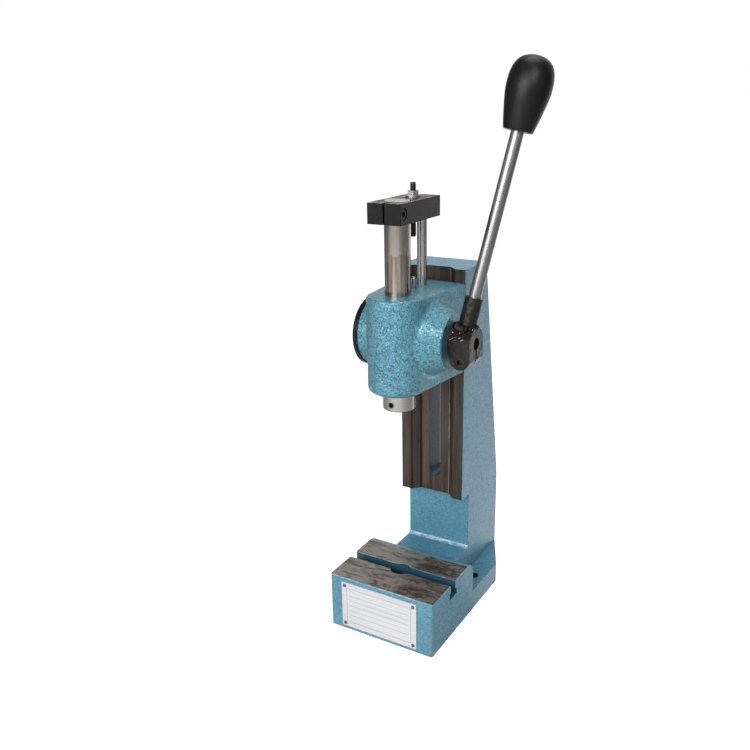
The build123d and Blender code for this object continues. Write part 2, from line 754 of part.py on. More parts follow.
with BuildPart() as lever_knob:
    with BuildSketch(Plane(origin=lever_root, x_dir=lever_side, z_dir=lever_side.cross(lever_dir))):
        with BuildLine():
            Line((0, knob_start), (knob_foot_radius, knob_start))
            Spline(
                (knob_foot_radius, knob_start),
                (knob_low_radius, knob_start + knob_low_height),
                (knob_radius, knob_start + knob_widest),
                (knob_shoulder_radius, knob_start + knob_shoulder_height),
                (0, knob_start + knob_length),
                tangents=((0.3, 1), (-1, 0)),
            )
            Line((0, knob_start + knob_length), (0, knob_start))
        make_face()
    revolve(axis=Axis(lever_root, lever_dir))
    fillet(lever_knob.edges().filter_by(GeomType.CIRCLE), radius=knob_foot_round)
    with BuildSketch(lever_plane.offset(knob_start)):
        Circle(rod_dia / 2)
    extrude(amount=knob_hole_depth, mode=Mode.SUBTRACT)
lever_knob.part.label = "lever_knob"
export_step(lever_knob.part, "parts/lever_knob.step")

# Ram with the rack cut in its back
rack_pitch = math.pi * module
rack_root = rack_tip - 2.25 * module
rack_slope = math.tan(math.radians(pressure_angle))
rack_first = -int((rack_below - 2 * module) / rack_pitch)
rack_last = int((rack_above - 2 * module) / rack_pitch)
space_half = (rack_pitch + backlash) / 4
with BuildPart() as ram:
    with Locations((0, 0, ram_bottom)):
        Cylinder(ram_radius, ram_top - ram_bottom, align=(Align.CENTER, Align.CENTER, Align.MIN))
    chamfer(ram.edges().group_by(Axis.Z)[-1], length=ram_chamfer)
    with BuildSketch(on_x(-ram_radius)):
        with Locations((rack_tip, pinion_z - rack_below)):
            Rectangle(ram_radius, rack_above + rack_below, align=(Align.MIN, Align.MIN))
        for tooth in range(rack_first, rack_last + 1):
            middle = pinion_z + tooth * rack_pitch
            with BuildLine():
                Polyline(
                    (rack_tip + 1, middle - space_half - (module + 1) * rack_slope),
                    (rack_root, middle - space_half + 1.25 * module * rack_slope),
                    (rack_root, middle + space_half - 1.25 * module * rack_slope),
                    (rack_tip + 1, middle + space_half + (module + 1) * rack_slope),
                    close=True,
                )
            make_face()
    extrude(amount=2 * ram_radius, mode=Mode.SUBTRACT)
    # Tool bore and the cross hole of its set screw
    with BuildSketch(Plane.XY.offset(ram_bottom)):
        Circle(tool_bore / 2)
    extrude(amount=tool_bore_depth, mode=Mode.SUBTRACT)
    with BuildSketch(Plane.XZ.offset(ram_radius + 1)):
        with Locations((0, set_screw_z)):
            Circle(set_screw_dia / 2)
    extrude(amount=-ram_radius - 1, mode=Mode.SUBTRACT)
ram.part.label = "ram"
export_step(ram.part, "parts/ram.step")

# Collar with its set screw
with BuildPart() as ram_collar:
    with BuildSketch(Plane.XY.offset(ram_bottom)):
        Circle(collar_dia / 2)
        Circle(ram_radius, mode=Mode.SUBTRACT)
    extrude(amount=collar_height)
    chamfer(
        ram_collar.edges().filter_by(GeomType.CIRCLE).filter_by(lambda edge: edge.radius > ram_radius + 1),
        length=collar_chamfer,
    )
    with BuildSketch(Plane.XZ.offset(collar_dia / 2 + 1)):
        with Locations((0, set_screw_z)):
            Circle(set_screw_dia / 2)
    extrude(amount=-collar_dia / 2, mode=Mode.SUBTRACT)
ram_collar.part.label = "ram_collar"
export_step(ram_collar.part, "parts/ram_collar.step")

with BuildPart() as collar_screw:
    with BuildSketch(Plane.XZ.offset(collar_dia / 2 - head_seat_clear)):
        with Locations((0, set_screw_z)):
            Circle(set_screw_dia / 2)
    extrude(amount=-set_screw_length)
    with BuildSketch(Plane.XZ.offset(collar_dia / 2 - head_seat_clear)):
        with Locations((0, set_screw_z)):
            RegularPolygon(hex_radius(set_screw_dia / 2), 6)
    extrude(amount=-set_screw_dia / 2, mode=Mode.SUBTRACT)
collar_screw.part.label = "collar_screw"
export_step(collar_screw.part, "parts/collar_screw.step")

# Top block that carries the guide rod and the stop stud
with BuildPart() as top_block:
    with BuildSketch(Plane.XY.offset(block_bottom)):
        with Locations((0, -block_front)):
            Rectangle(block_width, block_length, align=(Align.CENTER, Align.MIN))
        Circle(ram_radius, mode=Mode.SUBTRACT)
        with Locations((0, -block_front)):
            Rectangle(block_slit, block_front, align=(Align.CENTER, Align.MIN), mode=Mode.SUBTRACT)
        with Locations((0, stop_y)):
            Circle(stud_dia / 2 + run_clear, mode=Mode.SUBTRACT)
    extrude(amount=block_height)
    chamfer(top_block.edges().filter_by(Axis.Z).filter_by(lambda edge: abs(edge.center().X) > ram_radius), 0.6)
    with BuildSketch(Plane.XY.offset(block_bottom)):
        with Locations((0, guide_y)):
            Circle(guide_dia / 2)
    extrude(amount=block_height - guide_top_wall, mode=Mode.SUBTRACT)
    with BuildSketch(on_x(block_width / 2)):
        with Locations((block_screw_y, ram_top - block_height / 2)):
            Circle(cap_screw_dia / 2)
    extrude(amount=-cap_screw_length - head_seat_clear, mode=Mode.SUBTRACT)
    with BuildSketch(on_x(block_width / 2)):
        with Locations((block_screw_y, ram_top - block_height / 2)):
            Circle(cap_head_dia / 2 + head_seat_clear)
    extrude(amount=-cap_head_height - head_seat_clear, mode=Mode.SUBTRACT)
top_block.part.label = "top_block"
export_step(top_block.part, "parts/top_block.step")

with BuildPart() as block_screw:
    with BuildSketch(on_x(block_width / 2 - head_seat_clear)):
        with Locations((block_screw_y, ram_top - block_height / 2)):
            Circle(cap_head_dia / 2)
    extrude(amount=-cap_head_height)
    with BuildSketch(on_x(block_width / 2 - head_seat_clear)):
        with Locations((block_screw_y, ram_top - block_height / 2)):
            Circle(cap_screw_dia / 2)
    extrude(amount=-cap_screw_length)
    with BuildSketch(on_x(block_width / 2 - head_seat_clear)):
        with Locations((block_screw_y, ram_top - block_height / 2)):
            RegularPolygon(hex_radius(cap_socket), 6)
    extrude(amount=-cap_socket_depth, mode=Mode.SUBTRACT)
block_screw.part.label = "block_screw"
export_step(block_screw.part, "parts/block_screw.step")

with BuildPart() as guide_rod:
    with Locations((0, guide_y, guide_bottom)):
        Cylinder(
            guide_dia / 2,
            ram_top - guide_top_wall - guide_bottom,
            align=(Align.CENTER, Align.CENTER, Align.MIN),
        )
    chamfer(guide_rod.edges().group_by(Axis.Z)[0], length=1)
guide_rod.part.label = "guide_rod"
export_step(guide_rod.part, "parts/guide_rod.step")

# Stop stud and its flange nut
with BuildPart() as stop_stud:
    with Locations((0, stop_y, stud_bottom)):
        Cylinder(stud_dia / 2, stud_length, align=(Align.CENTER, Align.CENTER, Align.MIN))
    chamfer(stop_stud.edges().group_by(Axis.Z)[0], length=stud_chamfer)
    chamfer(stop_stud.edges().group_by(Axis.Z)[-1], length=stud_chamfer)
stop_stud.part.label = "stop_stud"
export_step(stop_stud.part, "parts/stop_stud.step")

with BuildPart() as stop_nut:
    with BuildSketch(Plane.XY.offset(ram_top)):
        with Locations((0, stop_y)):
            RegularPolygon(hex_radius(nut_flats), 6)
            Circle(stud_dia / 2 + run_clear, mode=Mode.SUBTRACT)
    extrude(amount=nut_height)
    with BuildSketch(Plane.XY.offset(ram_top)):
        with Locations((0, stop_y)):
            Circle(nut_flange_dia / 2)
            Circle(stud_dia / 2 + run_clear, mode=Mode.SUBTRACT)
    extrude(amount=nut_flange_height)
stop_nut.part.label = "stop_nut"
export_step(stop_nut.part, "parts/stop_nut.step")
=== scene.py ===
"""Looks of a manual riveting press.

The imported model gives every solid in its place. This file adds the paint, the machined and blackened steels,
the weld and the threads, the studio, and the camera of the photograph.
"""

import json
import logging
import math
from dataclasses import dataclass, field
from enum import Enum

import bpy
from mathutils import Matrix, Vector

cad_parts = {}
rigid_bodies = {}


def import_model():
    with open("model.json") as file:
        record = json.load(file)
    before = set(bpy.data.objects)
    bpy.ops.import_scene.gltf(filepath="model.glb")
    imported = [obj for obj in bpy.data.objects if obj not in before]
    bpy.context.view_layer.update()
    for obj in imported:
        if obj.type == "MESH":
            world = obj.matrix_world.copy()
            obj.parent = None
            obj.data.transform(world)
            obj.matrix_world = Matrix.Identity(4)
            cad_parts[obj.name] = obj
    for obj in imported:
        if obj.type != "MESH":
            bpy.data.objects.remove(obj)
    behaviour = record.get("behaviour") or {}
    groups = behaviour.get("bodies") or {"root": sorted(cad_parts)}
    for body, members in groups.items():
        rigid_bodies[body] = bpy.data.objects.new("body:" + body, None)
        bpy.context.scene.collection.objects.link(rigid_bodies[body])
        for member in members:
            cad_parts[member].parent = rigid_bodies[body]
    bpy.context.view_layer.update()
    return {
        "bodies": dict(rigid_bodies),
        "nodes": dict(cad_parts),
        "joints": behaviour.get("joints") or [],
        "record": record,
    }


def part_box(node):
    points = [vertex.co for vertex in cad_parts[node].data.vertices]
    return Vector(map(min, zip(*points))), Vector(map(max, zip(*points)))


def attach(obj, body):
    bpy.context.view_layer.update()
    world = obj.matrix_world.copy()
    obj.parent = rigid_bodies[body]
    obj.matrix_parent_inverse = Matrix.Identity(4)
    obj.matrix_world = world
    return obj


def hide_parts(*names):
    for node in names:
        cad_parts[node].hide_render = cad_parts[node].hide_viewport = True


log = logging.getLogger("riveting_press")

MM = 0.001
FAR = 1000.0  # in millimetres, past the whole object
Colour = tuple[float, float, float]
Point = tuple[float, float, float]
Piece = bpy.types.Object
Material = bpy.types.Material
Tree = bpy.types.NodeTree
Socket = bpy.types.NodeSocket
Value = Socket | float | Colour  # what goes into a node's input


def srgb(red: int, green: int, blue: int) -> Colour:
    """Turn an 8-bit screen colour into the linear colour that a shader takes."""
    levels = [part / 255.0 for part in (red, green, blue)]
    return tuple(level / 12.92 if level <= 0.04045 else ((level + 0.055) / 1.055) ** 2.4 for level in levels)


class Along(Enum):
    """The direction in which a tool has left its lines, as a stretch of the pattern."""

    X = (0.06, 1.0, 1.0)
    Z = (1.0, 1.0, 0.06)
    ROUND = (1.0, 1.0, 14.0)
    NONE = (1.0, 1.0, 1.0)


class Web:
    """Adds nodes to one node tree and joins them up."""

    def __init__(self, tree: Tree) -> None:
        """Take the tree that the nodes go into."""
        self.tree = tree
        self.count = 0

    def add(self, kind: str, fill: dict | None = None, **settings: object) -> bpy.types.Node:
        """Add a node, set its properties and fill its inputs.

        Args:
            kind: The node's type name.
            fill: What goes into its inputs, by their names or numbers.
            settings: Properties of the node.

        Returns:
            The new node.
        """
        node = self.tree.nodes.new(kind)
        node.location = (180 * (self.count % 12), -260 * (self.count // 12))
        self.count += 1
        for name, value in settings.items():
            setattr(node, name, value)
        for key, value in (fill or {}).items():
            self.put(value, node.inputs[key])
        return node

    def put(self, value: Value, socket: Socket) -> None:
        """Join an output to a socket, or set the socket's value.

        Args:
            value: An output socket, a number or a colour.
            socket: The input socket.
        """
        if isinstance(value, Socket):
            self.tree.links.new(value, socket)
        elif isinstance(value, tuple) and socket.type == "RGBA":
            socket.default_value = (*value, 1.0)[:4]
        else:
            socket.default_value = value

    def math(self, kind: str, first: Value, second: Value = 0.0, clamp: bool = False) -> Socket:
        """Add a Math node, whose result may be kept between 0 and 1."""
        return self.add("ShaderNodeMath", {0: first, 1: second}, operation=kind, use_clamp=clamp).outputs[0]

    def times(self, first: Value, second: Value) -> Socket:
        """Multiply two numbers."""
        return self.math("MULTIPLY", first, second)

    def plus(self, first: Value, second: Value) -> Socket:
        """Add two numbers."""
        return self.math("ADD", first, second)

    def less(self, first: Value, second: Value) -> Socket:
        """Take the second number from the first."""
        return self.math("SUBTRACT", first, second)

    def gap(self, first: Value, second: Value) -> Socket:
        """Give how far two numbers are apart."""
        return self.math("ABSOLUTE", self.less(first, second))

    def most(self, first: Value, second: Value) -> Socket:
        """Give the larger of two numbers."""
        return self.math("MAXIMUM", first, second)

    def above(self, value: Value, limit: Value) -> Socket:
        """Give 1 where a number is above a limit, and else 0."""
        return self.math("GREATER_THAN", value, limit)

    def below(self, value: Value, limit: Value) -> Socket:
        """Give 1 where a number is below a limit, and else 0."""
        return self.math("LESS_THAN", value, limit)

    def far(self, first: Value, second: Value) -> Socket:
        """Give the distance that two sides at right angles span."""
        squares = [self.math("POWER", side, 2.0) for side in (first, second)]
        return self.math("SQRT", self.plus(*squares))

    def mix(self, share: Value, first: Value, second: Value) -> Socket:
        """Mix two colours by the share of the second, which is kept between 0 and 1."""
        node = self.add("ShaderNodeMix", {"Factor": share, "A": first, "B": second}, data_type="RGBA")
        return next(output for output in node.outputs if output.type == "RGBA")

    def tint(self, first: Value, second: Value, mask: Value, amount: Value) -> Socket:
        """Lay an amount of the second colour over the first where a mask lies."""
        return self.mix(self.times(mask, amount), first, second)

    def blend(self, share: Value, first: Value, second: Value) -> Socket:
        """Mix two numbers by the share of the second."""
        return self.add("ShaderNodeMix", {0: share, 2: first, 3: second}, data_type="FLOAT").outputs[0]

    def between(self, value: Value, low: Value, high: Value) -> Socket:
        """Stretch a number so that low becomes 0 and high becomes 1, and keep it between them."""
        fill = {"Value": value, "From Min": low, "From Max": high}
        return self.add("ShaderNodeMapRange", fill, clamp=True).outputs[0]

    def place(self, scale: Value = (1.0, 1.0, 1.0), turn: float = 0.0) -> Socket:
        """Give the piece's own coordinates, stretched and turned.

        Args:
            scale: The stretch along each axis.
            turn: The turn about the upright axis, in degrees.

        Returns:
            The coordinates' socket.
        """
        source = self.add("ShaderNodeTexCoord").outputs["Object"]
        fill = {"Vector": source, "Scale": scale, "Rotation": (0.0, 0.0, math.radians(turn))}
        return self.add("ShaderNodeMapping", fill).outputs[0]

    def apart(self, where: Socket) -> list[Socket]:
        """Split coordinates into their three numbers."""
        return self.add("ShaderNodeSeparateXYZ", {0: where}).outputs[:3]

    def spot(self) -> list[Socket]:
        """Give the place on the piece in millimetres: across, from front to back, and up."""
        return self.apart(self.place((1.0 / MM, 1.0 / MM, 1.0 / MM)))

    def noise(
        self, where: Socket, scale: Value, detail: float = 3.0, rough: float = 0.55, twist: float = 0.0
    ) -> Socket:
        """Add a noise pattern.

        Args:
            where: The coordinates' socket.
            scale: Waves to the metre.
            detail: How many finer layers it has.
            rough: How strong the finer layers are.
            twist: How much the pattern curls.

        Returns:
            The pattern's socket.
        """
        fill = {"Vector": where, "Scale": scale, "Detail": detail, "Roughness": rough, "Distortion": twist}
        return self.add("ShaderNodeTexNoise", fill).outputs[0]

    def group(self, tree: Tree, **values: Value) -> dict[str, Socket]:
        """Place a node group with these inputs, and give its outputs by name."""
        node = self.add("ShaderNodeGroup", values, node_tree=tree)
        return {output.name: output for output in node.outputs}


class Effects:
    """The surface effects that several finishes share, each one node group."""

    def __init__(self) -> None:
        """Build every group once."""
        self.flecks = self.make_flecks()
        self.tool_lines = self.make_tool_lines()
        self.grime = self.make_grime()
        self.zone = self.make_zone()

    def start(self, name: str, inputs: dict[str, Value], outputs: list[str]) -> tuple[Web, dict, dict]:
        """Begin a group with its sockets.

        Args:
            name: The group's name.
            inputs: Each input's name and first value.
            outputs: The outputs' names.

        Returns:
            The web, and the sockets inside the group for its inputs and its outputs, by name.
        """
        tree = bpy.data.node_groups.new(name, "ShaderNodeTree")
        for label, value in inputs.items():
            kind = "NodeSocketVector" if isinstance(value, tuple) else "NodeSocketFloat"
            socket = tree.interface.new_socket(name=label, in_out="INPUT", socket_type=kind)
            socket.default_value = value
        for label in outputs:
            tree.interface.new_socket(name=label, in_out="OUTPUT", socket_type="NodeSocketFloat")
        web = Web(tree)
        given = {socket.name: socket for socket in web.add("NodeGroupInput").outputs}
        out = {socket.name: socket for socket in web.add("NodeGroupOutput").inputs}
        return web, given, out

    def make_flecks(self) -> Tree:
        """Hammered paint: short curled dark lines between raised lighter cushions.

        Returns:
            The group.
        """
        outputs = ["Worm", "Cushion", "Height"]
        web, given, out = self.start("hammered_flecks", {"Scale": 330.0, "Width": 0.05}, outputs)
        where = web.place()
        curl = web.noise(where, given["Scale"], 1.0, 0.45, 1.0)
        away = web.gap(curl, 0.5)
        within = web.less(1.0, web.math("DIVIDE", away, given["Width"]))
        sharpness = 2.6
        line = web.math("MULTIPLY", within, sharpness, clamp=True)
        breaks = web.noise(where, web.times(given["Scale"], 0.42), 1.0, 0.5)
        worm = web.times(line, web.between(breaks, 0.38, 0.50))
        cushion = web.between(away, 0.04, 0.16)
        web.put(worm, out["Worm"])
        web.put(cushion, out["Cushion"])
        web.put(web.less(cushion, web.times(worm, 0.6)), out["Height"])
        return web.tree

    def make_tool_lines(self) -> Tree:
        """Lines that a cutter or a grinding wheel leaves, drawn out along one direction.

        Returns:
            The group.
        """
        inputs = {"Stretch": Along.Z.value, "Fine": 2600.0, "Coarse": 420.0}
        web, given, out = self.start("tool_lines", inputs, ["Fine", "Coarse", "Height"])
        where = web.place(given["Stretch"])
        layers = {}
        for label, detail in (("Fine", 2.0), ("Coarse", 4.0)):
            layers[label] = web.between(web.noise(where, given[label], detail, 0.5), 0.32, 0.68)
            web.put(layers[label], out[label])
        web.put(web.blend(0.35, layers["Fine"], layers["Coarse"]), out["Height"])
        return web.tree

    def make_grime(self) -> Tree:
        """Oil and dirt that gathers in soft patches with broken edges, and rare small specks.

        Returns:
            The group.
        """
        web, given, out = self.start("shop_grime", {"Scale": 60.0, "Amount": 0.5}, ["Patch", "Speck"])
        where = web.place()
        broad = web.noise(where, given["Scale"], 6.0, 0.62)
        edge = web.less(0.78, web.times(given["Amount"], 0.45))
        web.put(web.math("MULTIPLY", web.less(broad, edge), 7.0, clamp=True), out["Patch"])
        fill = {"Vector": where, "Scale": web.times(given["Scale"], 6.0)}
        cells = web.add("ShaderNodeTexVoronoi", fill, feature="F1").outputs["Distance"]
        dot = web.less(1.0, web.between(cells, 0.08, 0.20))
        rare = web.between(web.noise(where, 90.0, 1.0), 0.56, 0.62)
        web.put(web.times(dot, rare), out["Speck"])
        return web.tree

    def make_zone(self) -> Tree:
        """A box in the piece's own coordinates, in millimetres, whose edge can be ragged.

        Returns:
            The group.
        """
        inputs = {"Low": (0.0, 0.0, 0.0), "High": (1.0, 1.0, 1.0), "Ragged": 0.0}
        web, given, out = self.start("zone_box", inputs, ["Inside"])
        wave = web.less(web.noise(web.place(), 160.0, 4.0, 0.6), 0.5)
        push = web.times(wave, given["Ragged"])
        inside: Value = 1.0
        for value, low, high in zip(web.spot(), web.apart(given["Low"]), web.apart(given["High"])):
            pushed = web.plus(value, push)
            inside = web.times(inside, web.times(web.above(pushed, low), web.below(pushed, high)))
        web.put(inside, out["Inside"])
        return web.tree


@dataclass(frozen=True)
class Zone:
    """A box on a casting, in millimetres, whose edge may be ragged."""

    low: Point
    high: Point
    ragged: float = 0.0


@dataclass(frozen=True)
class Bore:
    """An upright bore, in millimetres: its place, its radius with a little to spare, and where it ends."""

    x: float
    y: float
    radius: float
    top: float = FAR
    bottom: float = -FAR


@dataclass(frozen=True)
class Cone:
    """A cone that stands on the right side of a casting, in millimetres.

    Its radius is wide at x = 0 and falls by slope for each millimetre outwards.
    """

    y: float
    z: float
    slope: float
    wide: float
    inner_end: float


class Finish:
    """A material in the making, with its shader, the shared effects and the masks."""

    def __init__(self, name: str, effects: Effects) -> None:
        """Start an empty material.

        Args:
            name: The material's name.
            effects: The shared effects.
        """
        self.effects = effects
        self.material = bpy.data.materials.new(name)
        self.material.use_nodes = True
        self.web = Web(self.material.node_tree)
        self.material.node_tree.nodes.clear()
        self.shader = self.web.add("ShaderNodeBsdfPrincipled")
        self.web.add("ShaderNodeOutputMaterial", {0: self.shader.outputs[0]})

    def set(self, name: str, value: Value) -> None:
        """Set or join one input of the shader."""
        self.web.put(value, self.shader.inputs[name])

    def bump(self, height: Socket, depth: float, strength: float) -> None:
        """Raise the surface by a pattern, whose full step is the depth in metres."""
        node = self.web.add("ShaderNodeBump", {"Distance": depth, "Strength": strength, "Height": height})
        self.set("Normal", node.outputs[0])

    def lines(self, along: Along, fine: float, coarse: float) -> dict[str, Socket]:
        """Add tool lines in a fine and a coarse layer, in waves to the metre."""
        return self.web.group(self.effects.tool_lines, Stretch=along.value, Fine=fine, Coarse=coarse)

    def grime(self, scale: float, amount: float) -> dict[str, Socket]:
        """Add oil and dirt, in waves to the metre."""
        return self.web.group(self.effects.grime, Scale=scale, Amount=amount)

    def inside(self, zones: tuple[Zone, ...]) -> Value:
        """Join several zones into one mask.

        Args:
            zones: The zones.

        Returns:
            The mask, 1 inside any zone.
        """
        mask: Value = 0.0
        for zone in zones:
            box = self.web.group(self.effects.zone, Low=zone.low, High=zone.high, Ragged=zone.ragged)
            mask = self.web.most(mask, box["Inside"])
        return mask

    def in_bore(self, bore: Bore) -> Socket:
        """Mask an upright bore.

        Args:
            bore: The bore.

        Returns:
            The mask, 1 inside the bore.
        """
        web = self.web
        across, back, up = web.spot()
        off = web.far(web.less(across, bore.x), web.less(back, bore.y))
        high = web.times(web.below(up, bore.top), web.above(up, bore.bottom))
        return web.times(web.below(off, bore.radius), high)

    def cone_foot_highlight(self, cone: Cone) -> Socket:
        """Mask the hollow round at the foot of a cone, where a painted highlight is laid.

        Args:
            cone: The cone.

        Returns:
            The mask, 1 in the middle of the round.
        """
        web = self.web
        across, back, up = web.spot()
        radius = web.far(web.less(back, cone.y), web.less(up, cone.z))
        off = web.less(web.plus(radius, web.times(across, cone.slope)), cone.wide)
        band = web.times(web.between(off, 0.10, 1.00), web.between(off, 4.60, 1.80))
        kept = web.between(web.noise(web.place(), 38.0, 2.0), 0.44, 0.58)
        band = web.times(band, web.blend(kept, 0.20, 1.0))
        return web.times(band, web.above(across, cone.inner_end))


@dataclass(frozen=True)
class Recipe:
    """What a finish is made of. Each kind lays its colours and patterns in its own way."""

    name: str

    def make(self, effects: Effects) -> Material:
        """Build the material.

        Args:
            effects: The shared effects.

        Returns:
            The material.
        """
        finish = Finish(self.name, effects)
        self.lay(finish)
        return finish.material

    def lay(self, finish: Finish) -> None:
        """Fill the material's shader."""
        raise NotImplementedError(self.name)


@dataclass(frozen=True)
class LandSteel:
    """The bare table lands: grey steel with dark oily smears drawn along the table."""

    steel: Colour = srgb(146, 140, 131)
    smeared: Colour = srgb(38, 29, 23)
    green: Colour = srgb(92, 94, 84)
    oil: Colour = srgb(86, 62, 46)
    pale: Colour = srgb(176, 170, 160)
    scratched: Colour = srgb(184, 176, 166)
    turn: float = 7.0

    def colour(self, web: Web) -> Socket:
        """Give the colour over the lands.

        Args:
            web: The material's web.

        Returns:
            The colour.
        """
        drawn = web.place((0.34, 1.0, 1.0), self.turn)
        brushed = web.place((0.3, 1.0, 1.0), self.turn)
        wave = web.times(web.less(web.noise(web.place(), 30.0, 4.0, 0.6), 0.5), 110.0)
        oily = web.between(web.plus(web.spot()[0], wave), -14.0, 26.0)
        smear = web.noise(drawn, 62.0, 8.0, 0.60, 2.4)
        dark = web.between(smear, web.blend(oily, 0.50, 0.43), web.blend(oily, 0.62, 0.55))
        ground = web.tint(self.steel, self.smeared, dark, web.blend(oily, 0.70, 0.95))
        ground = web.tint(ground, self.green, web.between(web.noise(drawn, 40.0), 0.46, 0.62), 0.30)
        ground = web.tint(ground, self.oil, oily, 0.35)
        pale = web.between(web.noise(brushed, 170.0, 5.0, 0.65), 0.52, 0.64)
        ground = web.tint(ground, self.pale, pale, web.blend(oily, 0.45, 0.15))
        scratch = web.between(web.noise(brushed, 640.0, 3.0, 0.6), 0.50, 0.70)
        return web.tint(ground, self.scratched, scratch, 0.25)


@dataclass(frozen=True)
class WaySteel:
    """The bare slideway: dark brown steel with drawn lines, painted shade lines at the channel's edge and
    corner, and painted highlights on its edges.
    """

    steel: Colour = srgb(52, 43, 37)
    line: Colour = srgb(78, 68, 60)
    patch: Colour = srgb(92, 72, 56)
    rust: Colour = srgb(112, 84, 60)
    crease_shade: Colour = srgb(24, 17, 14)
    edge: Colour = srgb(150, 146, 140)

    def colour(self, web: Web, lines: Socket, rusty: Value, way_shade_lines: Value, edge_highlights: Value) -> Socket:
        """Give the colour over the slideway.

        Args:
            web: The material's web.
            lines: The coarse tool lines.
            rusty: Mask of the rusty part.
            way_shade_lines: Mask of the painted shade lines at the channel's edge and corner.
            edge_highlights: Mask of the painted highlights on the slideway's edges.

        Returns:
            The colour.
        """
        way = web.mix(lines, self.steel, self.line)
        patch = web.between(web.noise(web.place((1.0, 1.0, 0.25)), 60.0, 4.0, 0.6), 0.52, 0.70)
        way = web.tint(way, self.patch, patch, 0.30)
        way = web.tint(way, self.rust, rusty, 0.4)
        # painted shade: dark lines at the channel's edge and inner corner
        way = web.tint(way, self.crease_shade, way_shade_lines, 0.85)
        # painted highlight: pale broken lines on the slideway's edges
        broken = web.between(web.noise(web.place((1.0, 1.0, 0.4)), 150.0), 0.42, 0.56)
        return web.tint(way, self.edge, edge_highlights, web.blend(broken, 0.25, 0.9))


@dataclass(frozen=True)
class HammertonePaint(Recipe):
    """Glossy hammered paint on a casting, with bared zones, worn edges with painted highlights, and zones of
    painted shade.
    """

    paint: Colour = srgb(82, 140, 166)
    deep: Colour = srgb(20, 66, 82)
    pale: Colour = srgb(150, 200, 212)
    wear_and_highlight: Colour = srgb(206, 222, 228)
    shade: Colour = srgb(16, 48, 62)
    speck: Colour = srgb(40, 58, 66)
    flake: float = 0.30
    gloss: float = 0.44
    coat: float = 0.24
    contrast: float = 1.0
    fleck_scale: float = 560.0
    fleck_width: float = 0.042
    relief: float = 0.00012
    lands: tuple[Zone, ...] = ()
    ways: tuple[Zone, ...] = ()
    way_shade_lines: tuple[Zone, ...] = ()
    way_edge_highlights: tuple[Zone, ...] = ()
    rusty: tuple[Zone, ...] = ()
    worn_and_highlit_edges: tuple[Zone, ...] = ()
    shaded: tuple[Zone, ...] = ()
    rim_highlight: Bore | None = None
    cone: Cone | None = None
    bores: tuple[Bore, ...] = ()

    def lay(self, finish: Finish) -> None:
        """Lay the paint, and bare the machined zones.

        Args:
            finish: The material in the making.
        """
        web = finish.web
        flecks = web.group(finish.effects.flecks, Scale=self.fleck_scale, Width=self.fleck_width)
        lines = finish.lines(Along.Z, 2200.0, 300.0)
        dim = finish.inside(self.shaded)
        lit = web.less(1.0, dim)
        ways = finish.inside(self.ways)
        for bore in self.bores:
            ways = web.most(ways, finish.in_bore(bore))
        bare = web.most(finish.inside(self.lands), ways)
        # rust, painted shade lines and painted edge highlights on the slideway
        way_masks = [finish.inside(zones) for zones in (self.rusty, self.way_shade_lines, self.way_edge_highlights)]
        metal = web.mix(ways, LandSteel().colour(web), WaySteel().colour(web, lines["Coarse"], *way_masks))
        finish.set("Base Color", web.mix(bare, self.painted(finish, flecks, dim), metal))
        shine = web.times(flecks["Cushion"], web.blend(dim, self.flake, 0.0))
        finish.set("Metallic", web.blend(bare, shine, 0.60))
        paint_rough = web.blend(flecks["Cushion"], self.gloss, self.gloss - 0.08)
        finish.set("Roughness", web.blend(bare, paint_rough, web.blend(lines["Fine"], 0.36, 0.58)))
        finish.set("Coat Weight", web.times(web.times(web.less(1.0, bare), lit), self.coat))
        finish.set("Coat Roughness", 0.24)
        raised = web.times(flecks["Height"], lit)
        scored = web.times(lines["Height"], 0.25)
        finish.bump(web.blend(bare, raised, scored), self.relief, 0.8)

    def painted(self, finish: Finish, flecks: dict[str, Socket], dim: Value) -> Socket:
        """Give the colour of the paint, with painted shade in the shaded zones and painted highlights on
        edges, the bore's rim and the cone's foot.

        Args:
            finish: The material in the making.
            flecks: The hammered pattern.
            dim: Mask of the shaded zones.

        Returns:
            The colour.
        """
        web = finish.web
        colour = web.tint(self.paint, self.pale, flecks["Cushion"], 0.45 * self.contrast)
        colour = web.tint(colour, self.deep, flecks["Worm"], 0.92 * self.contrast)
        colour = web.tint(colour, self.deep, web.between(web.noise(web.place(), 22.0), 0.3, 0.7), 0.14)
        colour = web.tint(colour, self.speck, finish.grime(38.0, 0.25)["Speck"], 0.6)
        # painted shade: the paint is darkened in the shaded zones, the recesses of slots and bores and the
        # boss end beside the hub
        colour = web.tint(colour, self.shade, dim, 0.82)
        # pale lines: real wear on the casting's edges, together with painted highlights along edges, fillets,
        # the bore's rim and the cone's foot round
        worn = finish.inside(self.worn_and_highlit_edges)
        if self.rim_highlight:
            worn = web.most(worn, finish.in_bore(self.rim_highlight))
        if self.cone:
            worn = web.most(worn, finish.cone_foot_highlight(self.cone))
        broken = web.between(web.noise(web.place(), 190.0), 0.42, 0.58)
        return web.tint(colour, self.wear_and_highlight, worn, web.blend(broken, 0.12, 0.6))


